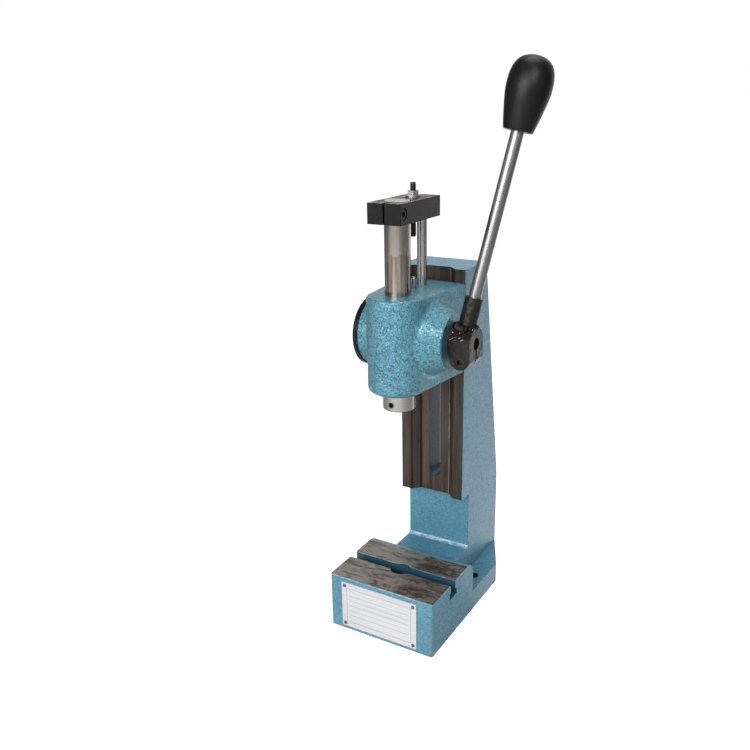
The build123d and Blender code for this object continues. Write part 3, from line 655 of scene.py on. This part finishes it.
@dataclass(frozen=True)
class WorkedSteel(Recipe):
    """Turned, ground or drawn metal with its lines and an oil film."""

    light: Colour
    dark: Colour
    along: Along = Along.Z
    roughness: float = 0.26
    oil: Colour = srgb(96, 66, 42)
    speck: Colour = srgb(34, 28, 24)
    oil_amount: float = 0.35
    depth: float = 0.00003
    mottle: float = 0.5
    oiled_below: float = -FAR

    def lay(self, finish: Finish) -> None:
        """Lay the metal with its tool lines, and the oil over it.

        Args:
            finish: The material in the making.
        """
        web = finish.web
        lines = finish.lines(self.along, 3200.0, 380.0)
        grime = finish.grime(70.0, self.oil_amount)
        colour = web.tint(self.light, self.dark, lines["Coarse"], self.mottle)
        colour = web.tint(colour, self.oil, grime["Patch"], 1.2 * self.mottle)
        if self.oiled_below > -FAR:
            colour = web.mix(self.wet(web), colour, self.oil)
        finish.set("Base Color", web.tint(colour, self.speck, grime["Speck"], 0.5))
        finish.set("Metallic", 1.0)
        rough = web.blend(lines["Fine"], self.roughness * 0.8, self.roughness * 1.35)
        finish.set("Roughness", web.plus(rough, web.times(grime["Patch"], 0.08)))
        finish.bump(lines["Height"], self.depth, 0.6)

    def wet(self, web: Web) -> Socket:
        """Mask the oil that has run down in streaks from a height, lower on the left.

        Args:
            web: The material's web.

        Returns:
            The mask, 1 where the oil is thickest.
        """
        across, _, up = web.spot()
        streak = web.noise(web.place((1.0, 1.0, 0.06)), 240.0, 1.0)
        left = web.times(web.below(across, -2.5), 7.0)
        wave = web.plus(web.times(web.less(streak, 0.5), 9.0), left)
        under = web.between(web.plus(up, wave), self.oiled_below + 0.8, self.oiled_below - 0.8)
        thick = web.between(web.noise(web.place((1.0, 1.0, 0.02)), 420.0), 0.40, 0.60)
        fall = web.between(up, self.oiled_below - 60.0, self.oiled_below)
        return web.times(under, web.times(web.blend(thick, 0.25, 0.95), web.blend(fall, 1.0, 0.55)))


@dataclass(frozen=True)
class Blackened(Recipe):
    """Black oxide or rough black paint over steel, worn through to brown."""

    black: Colour = srgb(44, 41, 40)
    worn: Colour = srgb(92, 80, 72)
    roughness: float = 0.42
    metallic: float = 0.55
    grain: float = 420.0
    depth: float = 0.00008
    coat: float = 0.0
    dirt: Colour = srgb(24, 21, 20)
    scuff: Colour = srgb(176, 156, 152)
    scuffed_above: float = FAR

    def lay(self, finish: Finish) -> None:
        """Lay the black, its worn patches and its grain.

        Args:
            finish: The material in the making.
        """
        web = finish.web
        where = web.place()
        fine = web.between(web.noise(where, self.grain, 4.0, 0.62), 0.35, 0.70)
        broad = web.between(web.noise(where, 55.0), 0.38, 0.66)
        colour = web.tint(self.black, self.worn, broad, 0.45)
        colour = web.tint(colour, self.worn, fine, 0.25)
        colour = web.tint(colour, self.dirt, finish.grime(85.0, 0.5)["Patch"], 0.5)
        if self.scuffed_above < FAR:
            high = web.above(web.spot()[2], self.scuffed_above)
            rubbed = web.between(web.noise(web.place((1.0, 0.45, 1.0)), 120.0, 5.0, 0.65), 0.50, 0.60)
            colour = web.tint(colour, self.scuff, web.times(high, rubbed), 0.75)
        finish.set("Base Color", colour)
        finish.set("Metallic", self.metallic)
        finish.set("Roughness", web.blend(fine, self.roughness * 0.85, self.roughness * 1.3))
        finish.set("Specular IOR Level", 0.27)
        finish.set("Coat Weight", self.coat)
        finish.set("Coat Roughness", 0.10)
        finish.bump(web.plus(fine, web.times(broad, 0.6)), self.depth, 0.7)


@dataclass(frozen=True)
class MouldedPlastic(Recipe):
    """Hard black plastic of the knob, a little scuffed."""

    name: str = "knob_plastic"
    black: Colour = srgb(10, 10, 11)
    scuffed: Colour = srgb(44, 44, 46)
    dirt: Colour = srgb(16, 15, 15)

    def lay(self, finish: Finish) -> None:
        """Lay the plastic's skin and its scuffs.

        Args:
            finish: The material in the making.
        """
        web = finish.web
        skin = web.between(web.noise(web.place(), 520.0), 0.35, 0.65)
        scuff = web.between(web.noise(web.place((1.0, 1.0, 0.2)), 130.0, 5.0, 0.7), 0.58, 0.72)
        colour = web.tint(self.black, self.scuffed, scuff, 0.25)
        finish.set("Base Color", web.tint(colour, self.dirt, finish.grime(50.0, 0.3)["Patch"], 0.4))
        finish.set("Roughness", web.plus(web.blend(skin, 0.34, 0.42), web.times(scuff, 0.18)))
        finish.set("Specular IOR Level", 0.25)
        finish.bump(skin, 0.00004, 0.5)


@dataclass(frozen=True)
class PlateSheet(Recipe):
    """The bare name plate: brushed sheet with a plain printed frame and ruled lines, in millimetres."""

    name: str = "plate_sheet"
    sheet: Colour = srgb(217, 216, 218)
    brushed: Colour = srgb(178, 184, 190)
    dirt: Colour = srgb(112, 116, 114)
    ink: Colour = srgb(70, 80, 88)
    centre_x: float = -1.6
    centre_z: float = 30.0
    width: float = 88.0
    height: float = 52.0
    margin: float = 6.0
    rules: int = 6
    frame_half: float = 0.22
    rule_half: float = 0.16

    def lay(self, finish: Finish) -> None:
        """Lay the brushed sheet with its print.

        Args:
            finish: The material in the making.
        """
        web = finish.web
        lines = finish.lines(Along.X, 2600.0, 300.0)
        colour = web.tint(self.sheet, self.brushed, lines["Coarse"], 0.35)
        colour = web.tint(colour, self.ink, self.printed(web), 0.75)
        finish.set("Base Color", web.tint(colour, self.dirt, finish.grime(60.0, 0.12)["Patch"], 0.35))
        finish.set("Metallic", 0.35)
        finish.set("Roughness", web.blend(lines["Fine"], 0.34, 0.48))
        finish.bump(lines["Height"], 0.00002, 0.5)

    def printed(self, web: Web) -> Socket:
        """Mask the printed frame and the ruled lines.

        Args:
            web: The material's web.

        Returns:
            The mask, 1 on the ink.
        """
        place_x, _, place_z = web.spot()
        across = web.gap(place_x, self.centre_x)
        up = web.gap(place_z, self.centre_z)
        half_width = self.width / 2 - self.margin
        half_height = self.height / 2 - self.margin
        frame: Value = 0.0
        in_box: Value = 1.0
        for value, half in ((across, half_width), (up, half_height)):
            frame = web.most(frame, web.below(web.gap(value, half), self.frame_half))
            in_box = web.times(in_box, web.below(value, half + 0.2))
        step = 2 * half_height / (self.rules + 1)
        phase = web.math("PINGPONG", web.less(place_z, self.centre_z - half_height), step / 2)
        ruled = web.below(web.less(step / 2, phase), self.rule_half)
        short = web.times(web.below(across, half_width - 3.0), web.below(up, half_height - 6.0))
        return web.most(web.times(frame, in_box), web.times(ruled, short))


def clear_selection() -> None:
    """Leave edit mode and select nothing."""
    if bpy.context.object and bpy.context.object.mode != "OBJECT":
        bpy.ops.object.mode_set(mode="OBJECT")
    bpy.ops.object.select_all(action="DESELECT")


def take(pieces: list[Piece]) -> None:
    """Select only these pieces and make the first one active."""
    clear_selection()
    for piece in pieces:
        piece.select_set(True)
    bpy.context.view_layer.objects.active = pieces[0]


def settle(piece: Piece) -> Piece:
    """Put a piece's place into its mesh, so that its object sits at the origin.

    Args:
        piece: The piece.

    Returns:
        The same piece.
    """
    take([piece])
    bpy.ops.object.transform_apply(location=True, rotation=True, scale=True)
    clear_selection()
    return piece


def dress(piece: Piece, material: Material) -> None:
    """Give a piece one material all over.

    Args:
        piece: The piece.
        material: The material.
    """
    if not piece.material_slots:
        piece.data.materials.append(material)
    for place in piece.material_slots:
        place.material = material


def smooth(piece: Piece, angle: float) -> None:
    """Shade a piece smooth, up to an angle in degrees."""
    take([piece])
    bpy.ops.object.shade_smooth_by_angle(angle=math.radians(angle))
    clear_selection()


@dataclass
class Assembly:
    """A part of the press, with the solids by name and the effects that its finishes share."""

    nodes: dict[str, Piece]
    effects: Effects

    def dress_solids(self, recipes: dict[str, Recipe]) -> None:
        """Give solids their materials, and build each material once.

        Args:
            recipes: What each solid is finished with, by the solid's name.
        """
        made: dict[str, Material] = {}
        for name, recipe in recipes.items():
            if recipe.name not in made:
                made[recipe.name] = recipe.make(self.effects)
            dress(self.nodes[name], made[recipe.name])
        log.info("%s: %d nodes dressed", type(self).__name__, len(recipes))


@dataclass
class Castings(Assembly):
    """The column casting with its plate and rivets, and the sliding head."""

    def column(self) -> HammertonePaint:
        """Give the paint of the column casting, with its machined lands and slideway.

        Returns:
            The finish.
        """
        channel_edge = Zone((-26.2, 70.5, 118.0), (-24.0, 72.4, 372.0), 0.3)
        channel_corner = Zone((-18.2, 77.6, 118.0), (-15.8, 79.5, 372.0), 0.4)
        slot_walls = Zone((-6.4, 79.2, 118.0), (6.4, 104.0, 370.6))
        t_slot_head = Zone((-60.0, -5.6, 43.8), (60.0, 11.6, 51.1))
        t_slot_neck = Zone((-60.0, -2.2, 51.0), (60.0, 8.2, 60.3))
        table_bore = Zone((-11.3, -11.3, 0.0), (11.3, 11.3, 60.2))
        slideway_foot = Zone((-36.2, 69.5, 117.6), (36.2, 81.0, 134.0), 1.8)
        slideway = Zone((-36.7, 70.5, 131.0), (36.7, 79.3, 370.8), 0.5)
        # pale lines: wear and painted highlights along the land edges, the base's top edges, the web's foot
        # round and the column's left edge
        worn_and_highlit_edges = (
            Zone((-60.5, 7.7, 59.6), (60.5, 9.0, 61.5), 0.5),
            Zone((-60.5, -7.4, 60.6), (60.5, -6.3, 61.5), 0.6),
            Zone((-60.5, -44.6, 60.2), (60.5, -43.0, 61.5), 0.7),
            Zone((59.0, -44.6, 59.6), (60.6, 44.0, 61.5), 0.7),
            Zone((-37.0, 84.9, 51.2), (37.0, 88.8, 54.2), 1.6),
            Zone((-37.4, 86.0, 56.0), (-36.2, 89.0, 116.0), 0.3),
        )
        return HammertonePaint(
            "hammertone_column",
            contrast=0.55,
            fleck_scale=460.0,
            lands=(Zone((-60.5, -43.2, 60.7), (60.5, 37.2, 61.5), 0.8),),
            ways=(slideway_foot, slideway),
            # painted shade lines at the channel's edge and corner
            way_shade_lines=(channel_edge, channel_corner),
            # painted shade inside the column's slot, the T-slot and the table bore
            shaded=(slot_walls, t_slot_head, t_slot_neck, table_bore),
            bores=(Bore(47.0, 81.0, 6.3, 22.9), Bore(-47.0, 81.0, 6.3, 22.9)),
            # painted highlight lines on the slideway's edges
            way_edge_highlights=(
                Zone((16.5, 78.4, 118.0), (17.3, 79.5, 372.0), 0.5),
                Zone((-37.0, 70.5, 118.0), (-36.2, 71.4, 372.0), 0.5),
            ),
            rusty=(Zone((-15.0, 78.6, 124.0), (-8.2, 79.5, 245.0), 2.5),),
            worn_and_highlit_edges=worn_and_highlit_edges,
            # painted highlight round the table bore's rim
            rim_highlight=Bore(0.0, 0.0, 12.1, bottom=60.2),
        )

    def head(self) -> HammertonePaint:
        """Give the paint of the sliding head, with its machined tongue and bores.

        Returns:
            The finish.
        """
        return HammertonePaint(
            "hammertone_head",
            paint=srgb(70, 131, 157),
            pale=srgb(150, 218, 218),
            wear_and_highlight=srgb(168, 218, 234),
            flake=0.70,
            gloss=0.40,
            coat=0.32,
            relief=0.00026,
            fleck_width=0.038,
            # painted highlight in the round at the cone's foot
            cone=Cone(y=23.0, z=312.2, slope=0.5735, wide=54.27, inner_end=26.0),
            # painted shade on the boss end face beside the hub
            shaded=(Zone((46.9, -6.0, 282.0), (48.3, 52.0, 330.0), 2.0),),
            ways=(Zone((-25.5, 71.0, 262.0), (25.5, 80.0, 358.0)),),
            bores=(Bore(0.0, 0.0, 12.8, 356.4), Bore(0.0, 48.5, 5.3, 356.4)),
        )

    def dress(self) -> None:
        """Paint both castings and dress the plate and its rivets."""
        rivet = WorkedSteel(
            "rivet_alloy", srgb(126, 128, 130), srgb(72, 74, 76), Along.NONE, 0.32, oil_amount=0.3
        )
        self.dress_solids({
            "frame_casting": self.column(), "head_casting": self.head(), "name_plate": PlateSheet(),
            "plate_rivets": rivet,
        })


@dataclass
class RamSet(Assembly):
    """The ram with its collar, top block, guide rod and depth stop."""

    stud_radius: float = 3.0 * MM
    stud_pitch: float = 1.0 * MM
    thread_depth: float = 0.5 * MM
    crest: float = 0.12 * MM
    sunk: float = 0.2 * MM
    end_chamfer: float = 0.5 * MM

    def dress(self) -> None:
        """Give each piece of the ram set its finish."""
        ground = WorkedSteel(
            "ram_steel", srgb(184, 180, 172), srgb(144, 136, 126), Along.Z, 0.15, srgb(104, 78, 50),
            depth=0.00001, mottle=0.35, oiled_below=396.0,
        )
        bright = WorkedSteel(
            "guide_steel", srgb(182, 182, 182), srgb(140, 138, 134), Along.Z, 0.18, oil_amount=0.2, mottle=0.3
        )
        turned = WorkedSteel(
            "collar_steel", srgb(168, 167, 164), srgb(124, 121, 118), Along.ROUND, 0.13, oil_amount=0.3,
            mottle=0.35,
        )
        zinc = WorkedSteel(
            "nut_zinc", srgb(172, 172, 172), srgb(126, 126, 128), Along.NONE, 0.30, oil_amount=0.1,
            mottle=0.12,
        )
        black = Blackened(
            "block_oxide", srgb(9, 9, 10), srgb(22, 21, 22), 0.36, 0.0, 500.0, 0.00003, scuffed_above=444.8
        )
        self.dress_solids({
            "ram": ground, "guide_rod": bright, "ram_collar": turned, "stop_pin": bright, "top_block": black,
            "block_screw": Blackened("screw_oxide", srgb(10, 9, 9), srgb(30, 27, 26), 0.38, 0.0),
            "collar_screw": Blackened("set_screw_oxide", srgb(30, 28, 27), srgb(70, 64, 60), 0.38),
            "stop_nut": zinc,
        })

    def thread(self, length: float) -> Piece:
        """Turn one tooth's outline into a thread.

        Args:
            length: The length of the stud.

        Returns:
            The thread, with its lowest turn at the origin's height.
        """
        root = self.stud_radius - self.thread_depth - self.sunk
        half = self.stud_pitch * 0.46
        clear_selection()
        bpy.ops.mesh.primitive_plane_add(size=1.0, location=(0, 0, 0))
        tooth = bpy.context.object
        tooth.name = "stop_stud_thread"
        tip = self.crest / 2
        outline = ((root, -half), (root, half), (self.stud_radius, -tip), (self.stud_radius, tip))
        for vertex, (radius, height) in zip(tooth.data.vertices, outline):
            vertex.co = (radius, 0.0, height)
        screw = tooth.modifiers.new("turns", "SCREW")
        screw.axis = "Z"
        screw.angle = 2 * math.pi
        screw.screw_offset = self.stud_pitch
        screw.iterations = int(length / self.stud_pitch) - 3
        screw.steps = screw.render_steps = 20
        screw.use_merge_vertices = False
        take([tooth])
        bpy.ops.object.modifier_apply(modifier=screw.name)
        return tooth

    def thread_stud(self) -> Piece:
        """Cut a real thread on the stop stud.

        Returns:
            The threaded stud.
        """
        low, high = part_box("stop_stud")
        middle = (low + high) / 2
        length = high.z - low.z
        tooth = self.thread(length)
        tooth.location = (middle.x, middle.y, low.z + 1.5 * self.stud_pitch)
        settle(tooth)
        core = self.stud_radius - self.thread_depth
        bpy.ops.mesh.primitive_cylinder_add(vertices=40, radius=core, depth=length, location=middle)
        rod = bpy.context.object
        chamfer = rod.modifiers.new("ends", "BEVEL")
        chamfer.width = self.end_chamfer
        chamfer.segments = 2
        bpy.ops.object.modifier_apply(modifier=chamfer.name)
        settle(rod)
        take([tooth, rod])
        bpy.ops.object.join()
        bpy.ops.object.mode_set(mode="EDIT")
        bpy.ops.mesh.select_all(action="SELECT")
        bpy.ops.mesh.normals_make_consistent(inside=False)
        bpy.ops.object.mode_set(mode="OBJECT")
        smooth(tooth, 28.0)
        oxide = Blackened("stud_oxide", srgb(34, 32, 31), srgb(96, 88, 82), 0.34, 0.8)
        dress(tooth, oxide.make(self.effects))
        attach(tooth, "stop")
        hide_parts("stop_stud")
        log.info("stop stud threaded over %.1f mm", length / MM)
        return tooth


def scatter(index: int, stride: int, count: int) -> float:
    """Give the same spread-out share, 0 to 1, each time for one index."""
    return (index * stride) % count / (count - 1)


@dataclass
class Lever(Assembly):
    """The lever with its hub, weld, rod and knob, and the parts inside the head."""

    root: Point = (57.6 * MM, 23.0 * MM, 312.2 * MM)
    lean: float = 10.0
    tilt: float = 10.0
    socket_radius: float = 8.75 * MM
    hub_radius: float = 15.5 * MM
    hub_left: float = 50.6 * MM
    hub_width: float = 20.6 * MM
    flat_front: float = 7.5 * MM
    flat_top: float = 319.4 * MM
    bead: float = 2.3 * MM
    beads: int = 64

    def dress(self) -> None:
        """Give the lever's solids and the inner pieces their finishes."""
        rod = WorkedSteel(
            "rod_steel", srgb(139, 139, 140), srgb(114, 112, 111), Along.Z, 0.31, srgb(88, 78, 70),
            oil_amount=0.1, depth=0.00001, mottle=0.15,
        )
        hub = Blackened("hub_scale", srgb(7, 5, 4), srgb(34, 24, 20), 0.30, 0.0, 150.0, 0.0007, coat=0.10)
        black = Blackened("cover_paint", srgb(10, 10, 11), srgb(24, 24, 25), 0.24, 0.1)
        screw = Blackened("hub_screw_oxide", srgb(34, 31, 30), srgb(110, 98, 88), 0.38, 0.8)
        metals = {
            "shaft_steel": (srgb(178, 174, 170), srgb(110, 104, 98), Along.X, 0.28, 0.5),
            "bush_bronze": (srgb(196, 152, 96), srgb(140, 100, 58), Along.X, 0.30, 0.4),
            "clamp_zinc": (srgb(196, 196, 196), srgb(140, 140, 140), Along.NONE, 0.32, 0.35),
            "spring_blue": (srgb(84, 92, 112), srgb(52, 54, 66), Along.X, 0.30, 0.3),
        }
        inner, bronze, zinc, spring = (
            WorkedSteel(name, light, dark, along, rough, oil_amount=oil)
            for name, (light, dark, along, rough, oil) in metals.items()
        )
        self.dress_solids({
            "lever_rod": rod, "lever_hub": hub, "hub_screw": screw, "lever_knob": MouldedPlastic(),
            "pinion_shaft": inner, "shaft_bush_right": bronze, "shaft_bush_left": bronze,
            "spring_cover": black, "cover_screws": screw, "return_spring": spring, "spring_pin": inner,
            "thrust_washer": screw, "clamp_studs": zinc, "clamp_nuts": zinc,
            "clamp_plate": Blackened("clamp_oxide", roughness=0.44),
        })

    def axes(self) -> tuple[Vector, Vector, Vector]:
        """Give the lever's own directions.

        Returns:
            The socket's axis, the direction across it to the right, and the direction to its front.
        """
        lean, tilt = math.radians(self.lean), math.radians(self.tilt)
        axis = Vector((math.sin(tilt), math.cos(tilt) * math.sin(lean), math.cos(tilt) * math.cos(lean)))
        side = Vector((math.cos(tilt), -math.sin(tilt) * math.sin(lean), -math.sin(tilt) * math.cos(lean)))
        return axis, side, side.cross(axis)

    def seam_point(self, angle: float, swell: float) -> tuple[Vector, Vector]:
        """Find where the socket's side meets the hub.

        Args:
            angle: The turn round the socket, 0 on its right and 90 degrees at its front.
            swell: How far outside the socket the point lies.

        Returns:
            The point, and the direction away from the socket.
        """
        axis, side, front = self.axes()
        away = side * math.cos(angle) + front * math.sin(angle)
        offset = away * (self.socket_radius + swell)
        steep = axis.y**2 + axis.z**2
        half = offset.y * axis.y + offset.z * axis.z
        rest = offset.y**2 + offset.z**2 - self.hub_radius**2
        lift = (-half + math.sqrt(max(half * half - steep * rest, 0.0))) / steep
        return Vector(self.root) + offset + axis * lift, away

    def on_hub(self, share: float, height: float) -> Vector:
        """Find a point on the hub's front.

        Args:
            share: How far across the hub from its left face, 0 to 1.
            height: The height of the point above the flat's top edge.

        Returns:
            The point.
        """
        level = self.flat_top + height
        depth = self.flat_front
        if height > 0.0:
            depth = self.root[1] - math.sqrt(max(self.hub_radius**2 - (level - self.root[2]) ** 2, 0.0))
        return Vector((self.hub_left + share * self.hub_width, depth, level))

    def drop(self, index: int) -> tuple[Vector, float, bool]:
        """Place one drop of weld metal.

        Args:
            index: The drop's number.

        Returns:
            The drop's place, its radius, and whether it is bright.
        """
        across = scatter(index, 53, 61)
        out = scatter(index, 37, 23)
        size = 0.18 + 0.22 * scatter(index, 7, 5)
        if index == 0:  # the largest painted-glint drop lies alone on the left
            return self.on_hub(0.08, 4.0 * MM) + Vector((0.0, -1.6 * MM, 0.6 * MM)), 0.75 * MM, True
        if index % 4 == 0:
            spot, _ = self.seam_point(math.radians(20.0 + 150.0 * across), (2.6 + 1.8 * out) * MM)
            return spot, (size + 0.10) * MM, True
        if index % 4 == 1:
            return self.on_hub(0.03 + 0.76 * across, (2.8 * out - 1.8) * MM), (size + 0.04) * MM, True
        return self.on_hub(0.06 + 0.84 * across, (1.2 + 6.0 * out) * MM), (0.5 + size * 1.6) * MM, False

    def lay_bead(self) -> Piece:
        """Bend a ring to the seam between socket and hub, heavier at its front and lumpy.

        Returns:
            The bead.
        """
        clear_selection()
        bpy.ops.mesh.primitive_torus_add(
            major_segments=96, minor_segments=12, major_radius=self.socket_radius, minor_radius=self.bead
        )
        seam = bpy.context.object
        seam.name = "socket_weld"
        axis, _, _ = self.axes()
        for vertex in seam.data.vertices:
            angle = math.atan2(vertex.co.y, vertex.co.x)
            outward = math.hypot(vertex.co.x, vertex.co.y) - self.socket_radius
            heavy = 1.0 + 0.75 * max(0.0, math.sin(angle - 0.6))
            lump = 1.0 + 0.16 * math.sin(17 * angle) + 0.10 * math.sin(39 * angle + 1.3)
            swell = heavy * (lump + 0.07 * math.sin(5 * angle + 0.7))
            point, away = self.seam_point(angle, 0.25 * MM)
            vertex.co = point + (away * outward + axis * vertex.co.z) * swell
        seam.data.update()
        return seam

    def weld(self) -> Piece:
        """Lay the weld bead round the foot of the socket, with dark drops on the hub and near-white drops
        coloured as painted glints.

        Returns:
            The weld.
        """
        metal = WorkedSteel(
            "weld_metal", srgb(60, 54, 51), srgb(22, 19, 18), Along.NONE, 0.26, srgb(30, 24, 22),
            oil_amount=0.8, depth=0.00020,
        )
        # near-white drops: real weld lumps, coloured as painted glints
        bright = WorkedSteel(
            "spatter_glint_metal", srgb(236, 230, 222), srgb(190, 180, 170), Along.NONE, 0.30, oil_amount=0.0
        )
        seam = self.lay_bead()
        dark = metal.make(self.effects)
        glint_drops = bright.make(self.effects)
        dress(seam, dark)
        drops = [seam]
        for index in range(self.beads):
            spot, radius, is_glint = self.drop(index)
            clear_selection()
            bpy.ops.mesh.primitive_ico_sphere_add(subdivisions=2, radius=radius, location=spot)
            drops.append(settle(bpy.context.object))
            dress(drops[-1], glint_drops if is_glint else dark)
        take(drops)
        bpy.ops.object.join()
        smooth(seam, 60.0)
        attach(seam, "lever")
        log.info("weld laid with %d drops", self.beads)
        return seam


@dataclass(frozen=True)
class Lamp:
    """A soft rectangular lamp, in metres and watts."""

    name: str
    place: Point
    width: float
    height: float
    power: float


@dataclass(frozen=True)
class Surround:
    """How bright the studio looks in a reflection: before the object, at its sides and behind it."""

    front: float
    side: float
    back: float
    front_azimuth: float = 3.0

    def level(self, web: Web, where: Socket) -> Socket:
        """Give the brightness in a direction.

        Args:
            web: The material's or the world's web.
            where: The direction or place.

        Returns:
            The level.
        """
        turn = math.radians(self.front_azimuth)
        ahead = (math.sin(turn), -math.cos(turn), 0.0)
        flat = web.add("ShaderNodeVectorMath", {0: where, 1: (1.0, 1.0, 0.0)}, operation="MULTIPLY")
        unit = web.add("ShaderNodeVectorMath", {0: flat.outputs[0]}, operation="NORMALIZE")
        facing = web.add("ShaderNodeVectorMath", {0: unit.outputs[0], 1: ahead}, operation="DOT_PRODUCT")
        facing = facing.outputs["Value"]
        behind = web.between(web.times(facing, -1.0), 0.60, 0.98)
        before = web.blend(web.between(facing, 0.35, 0.95), self.side, self.front)
        return web.plus(before, web.times(behind, self.back - self.side))


@dataclass
class Studio:
    """The floor, the lamps, the world and the camera of the photograph."""

    camera_at: Point = (0.37923, -0.66926, 0.53536)
    azimuth: float = 31.27
    elevation: float = 18.54
    roll: float = -1.12
    focal_px: float = 831.5
    image_px: float = 750.0
    sensor: float = 36.0
    lamps: tuple[Lamp, ...] = (
        Lamp("key", (-0.12, -1.75, 0.95), 1.6, 0.8, 29.0),
        Lamp("high_right", (1.02, -1.05, 1.25), 0.7, 0.7, 11.5),
        Lamp("right", (1.70, -0.35, 0.75), 1.1, 1.1, 1.5),
        Lamp("left", (-1.55, -0.75, 0.80), 1.1, 1.1, 1.5),
        Lamp("top", (0.10, 0.20, 1.85), 1.1, 1.1, 12.0),
    )
    aim: Point = (0.0, 0.03, 0.25)
    paper: tuple[float, float] = (0.60, 0.63)
    floor_glow: float = 0.93
    world_glow: float = 0.16
    on_floor: Surround = Surround(0.50, 0.03, 0.92)
    in_sky: Surround = Surround(0.48, 0.18, 0.90)
    made: list[str] = field(default_factory=list)

    def floor(self) -> None:
        """Lay a pale floor that keeps the object's shadow."""
        clear_selection()
        bpy.ops.mesh.primitive_plane_add(size=9.0, location=(0.0, 0.0, -0.4 * MM))
        floor = bpy.context.object
        floor.name = "studio_floor"
        material = bpy.data.materials.new("studio_white")
        material.use_nodes = True
        web = Web(material.node_tree)
        material.node_tree.nodes.clear()
        dull, pale = ((level, level, level) for level in self.paper)
        grain = web.mix(web.noise(web.place(), 40.0), dull, pale)
        path = web.add("ShaderNodeLightPath").outputs
        seen = web.most(path["Is Camera Ray"], path["Is Glossy Ray"])
        seen = web.most(seen, path["Is Transmission Ray"])
        shine = web.times(seen, self.on_floor.level(web, web.place()))
        strength = web.most(shine, web.times(path["Is Camera Ray"], self.floor_glow))
        paper = web.add("ShaderNodeBsdfDiffuse", {"Color": grain}).outputs[0]
        glow = web.add("ShaderNodeEmission", {"Strength": strength}).outputs[0]
        both = web.add("ShaderNodeAddShader", {0: paper, 1: glow}).outputs[0]
        web.add("ShaderNodeOutputMaterial", {0: both})
        dress(floor, material)
        self.made.append(floor.name)

    def world(self) -> None:
        """Set a white backdrop for the camera and a grey one for the light."""
        world = bpy.data.worlds.new("studio_world")
        bpy.context.scene.world = world
        world.use_nodes = True
        web = Web(world.node_tree)
        world.node_tree.nodes.clear()
        path = web.add("ShaderNodeLightPath").outputs
        seen = web.most(path["Is Camera Ray"], path["Is Transmission Ray"])
        shine = self.in_sky.level(web, web.add("ShaderNodeTexCoord").outputs["Generated"])
        strength = web.most(web.blend(seen, self.world_glow, 1.0), web.times(path["Is Glossy Ray"], shine))
        back = web.add("ShaderNodeBackground", {"Color": (1.0, 1.0, 1.0), "Strength": strength})
        web.add("ShaderNodeOutputWorld", {0: back.outputs[0]})

    def light(self) -> None:
        """Hang the soft lamps."""
        for lamp in self.lamps:
            data = bpy.data.lights.new(lamp.name, "AREA")
            data.shape = "RECTANGLE"
            data.size = lamp.width
            data.size_y = lamp.height
            data.energy = lamp.power
            hung = bpy.data.objects.new(lamp.name, data)
            bpy.context.scene.collection.objects.link(hung)
            hung.location = lamp.place
            hung.rotation_euler = (Vector(self.aim) - Vector(lamp.place)).to_track_quat("-Z", "Y").to_euler()
            self.made.append(lamp.name)

    def camera(self) -> None:
        """Place the camera where the photograph was taken from."""
        az, el, roll = (math.radians(angle) for angle in (self.azimuth, self.elevation, self.roll))
        back = Vector((math.sin(az) * math.cos(el), -math.cos(az) * math.cos(el), math.sin(el)))
        right = Vector((0.0, 0.0, 1.0)).cross(back).normalized()
        up = back.cross(right)
        across = math.cos(roll) * right + math.sin(roll) * up
        upright = -math.sin(roll) * right + math.cos(roll) * up
        data = bpy.data.cameras.new("photo_camera")
        data.sensor_fit = "HORIZONTAL"
        data.sensor_width = self.sensor
        data.lens = self.focal_px / self.image_px * self.sensor
        data.clip_start = 0.02
        camera = bpy.data.objects.new("photo_camera", data)
        bpy.context.scene.collection.objects.link(camera)
        turn = Matrix((across, upright, back)).transposed()
        camera.matrix_world = Matrix.Translation(Vector(self.camera_at)) @ turn.to_4x4()
        bpy.context.scene.camera = camera
        self.made.append(camera.name)

    def build(self) -> None:
        """Set up the whole studio."""
        self.floor()
        self.world()
        self.light()
        self.camera()
        bpy.context.scene.view_settings.view_transform = "Standard"
        log.info("studio: %s", ", ".join(self.made))


def main() -> None:
    """Build the looks in order."""
    logging.basicConfig(level=logging.INFO, format="%(name)s: %(message)s")
    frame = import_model()
    nodes = frame["nodes"]
    effects = Effects()
    Studio().build()
    Castings(nodes, effects).dress()
    ram = RamSet(nodes, effects)
    ram.dress()
    ram.thread_stud()
    lever = Lever(nodes, effects)
    lever.dress()
    lever.weld()


if __name__ == "__main__":
    main()
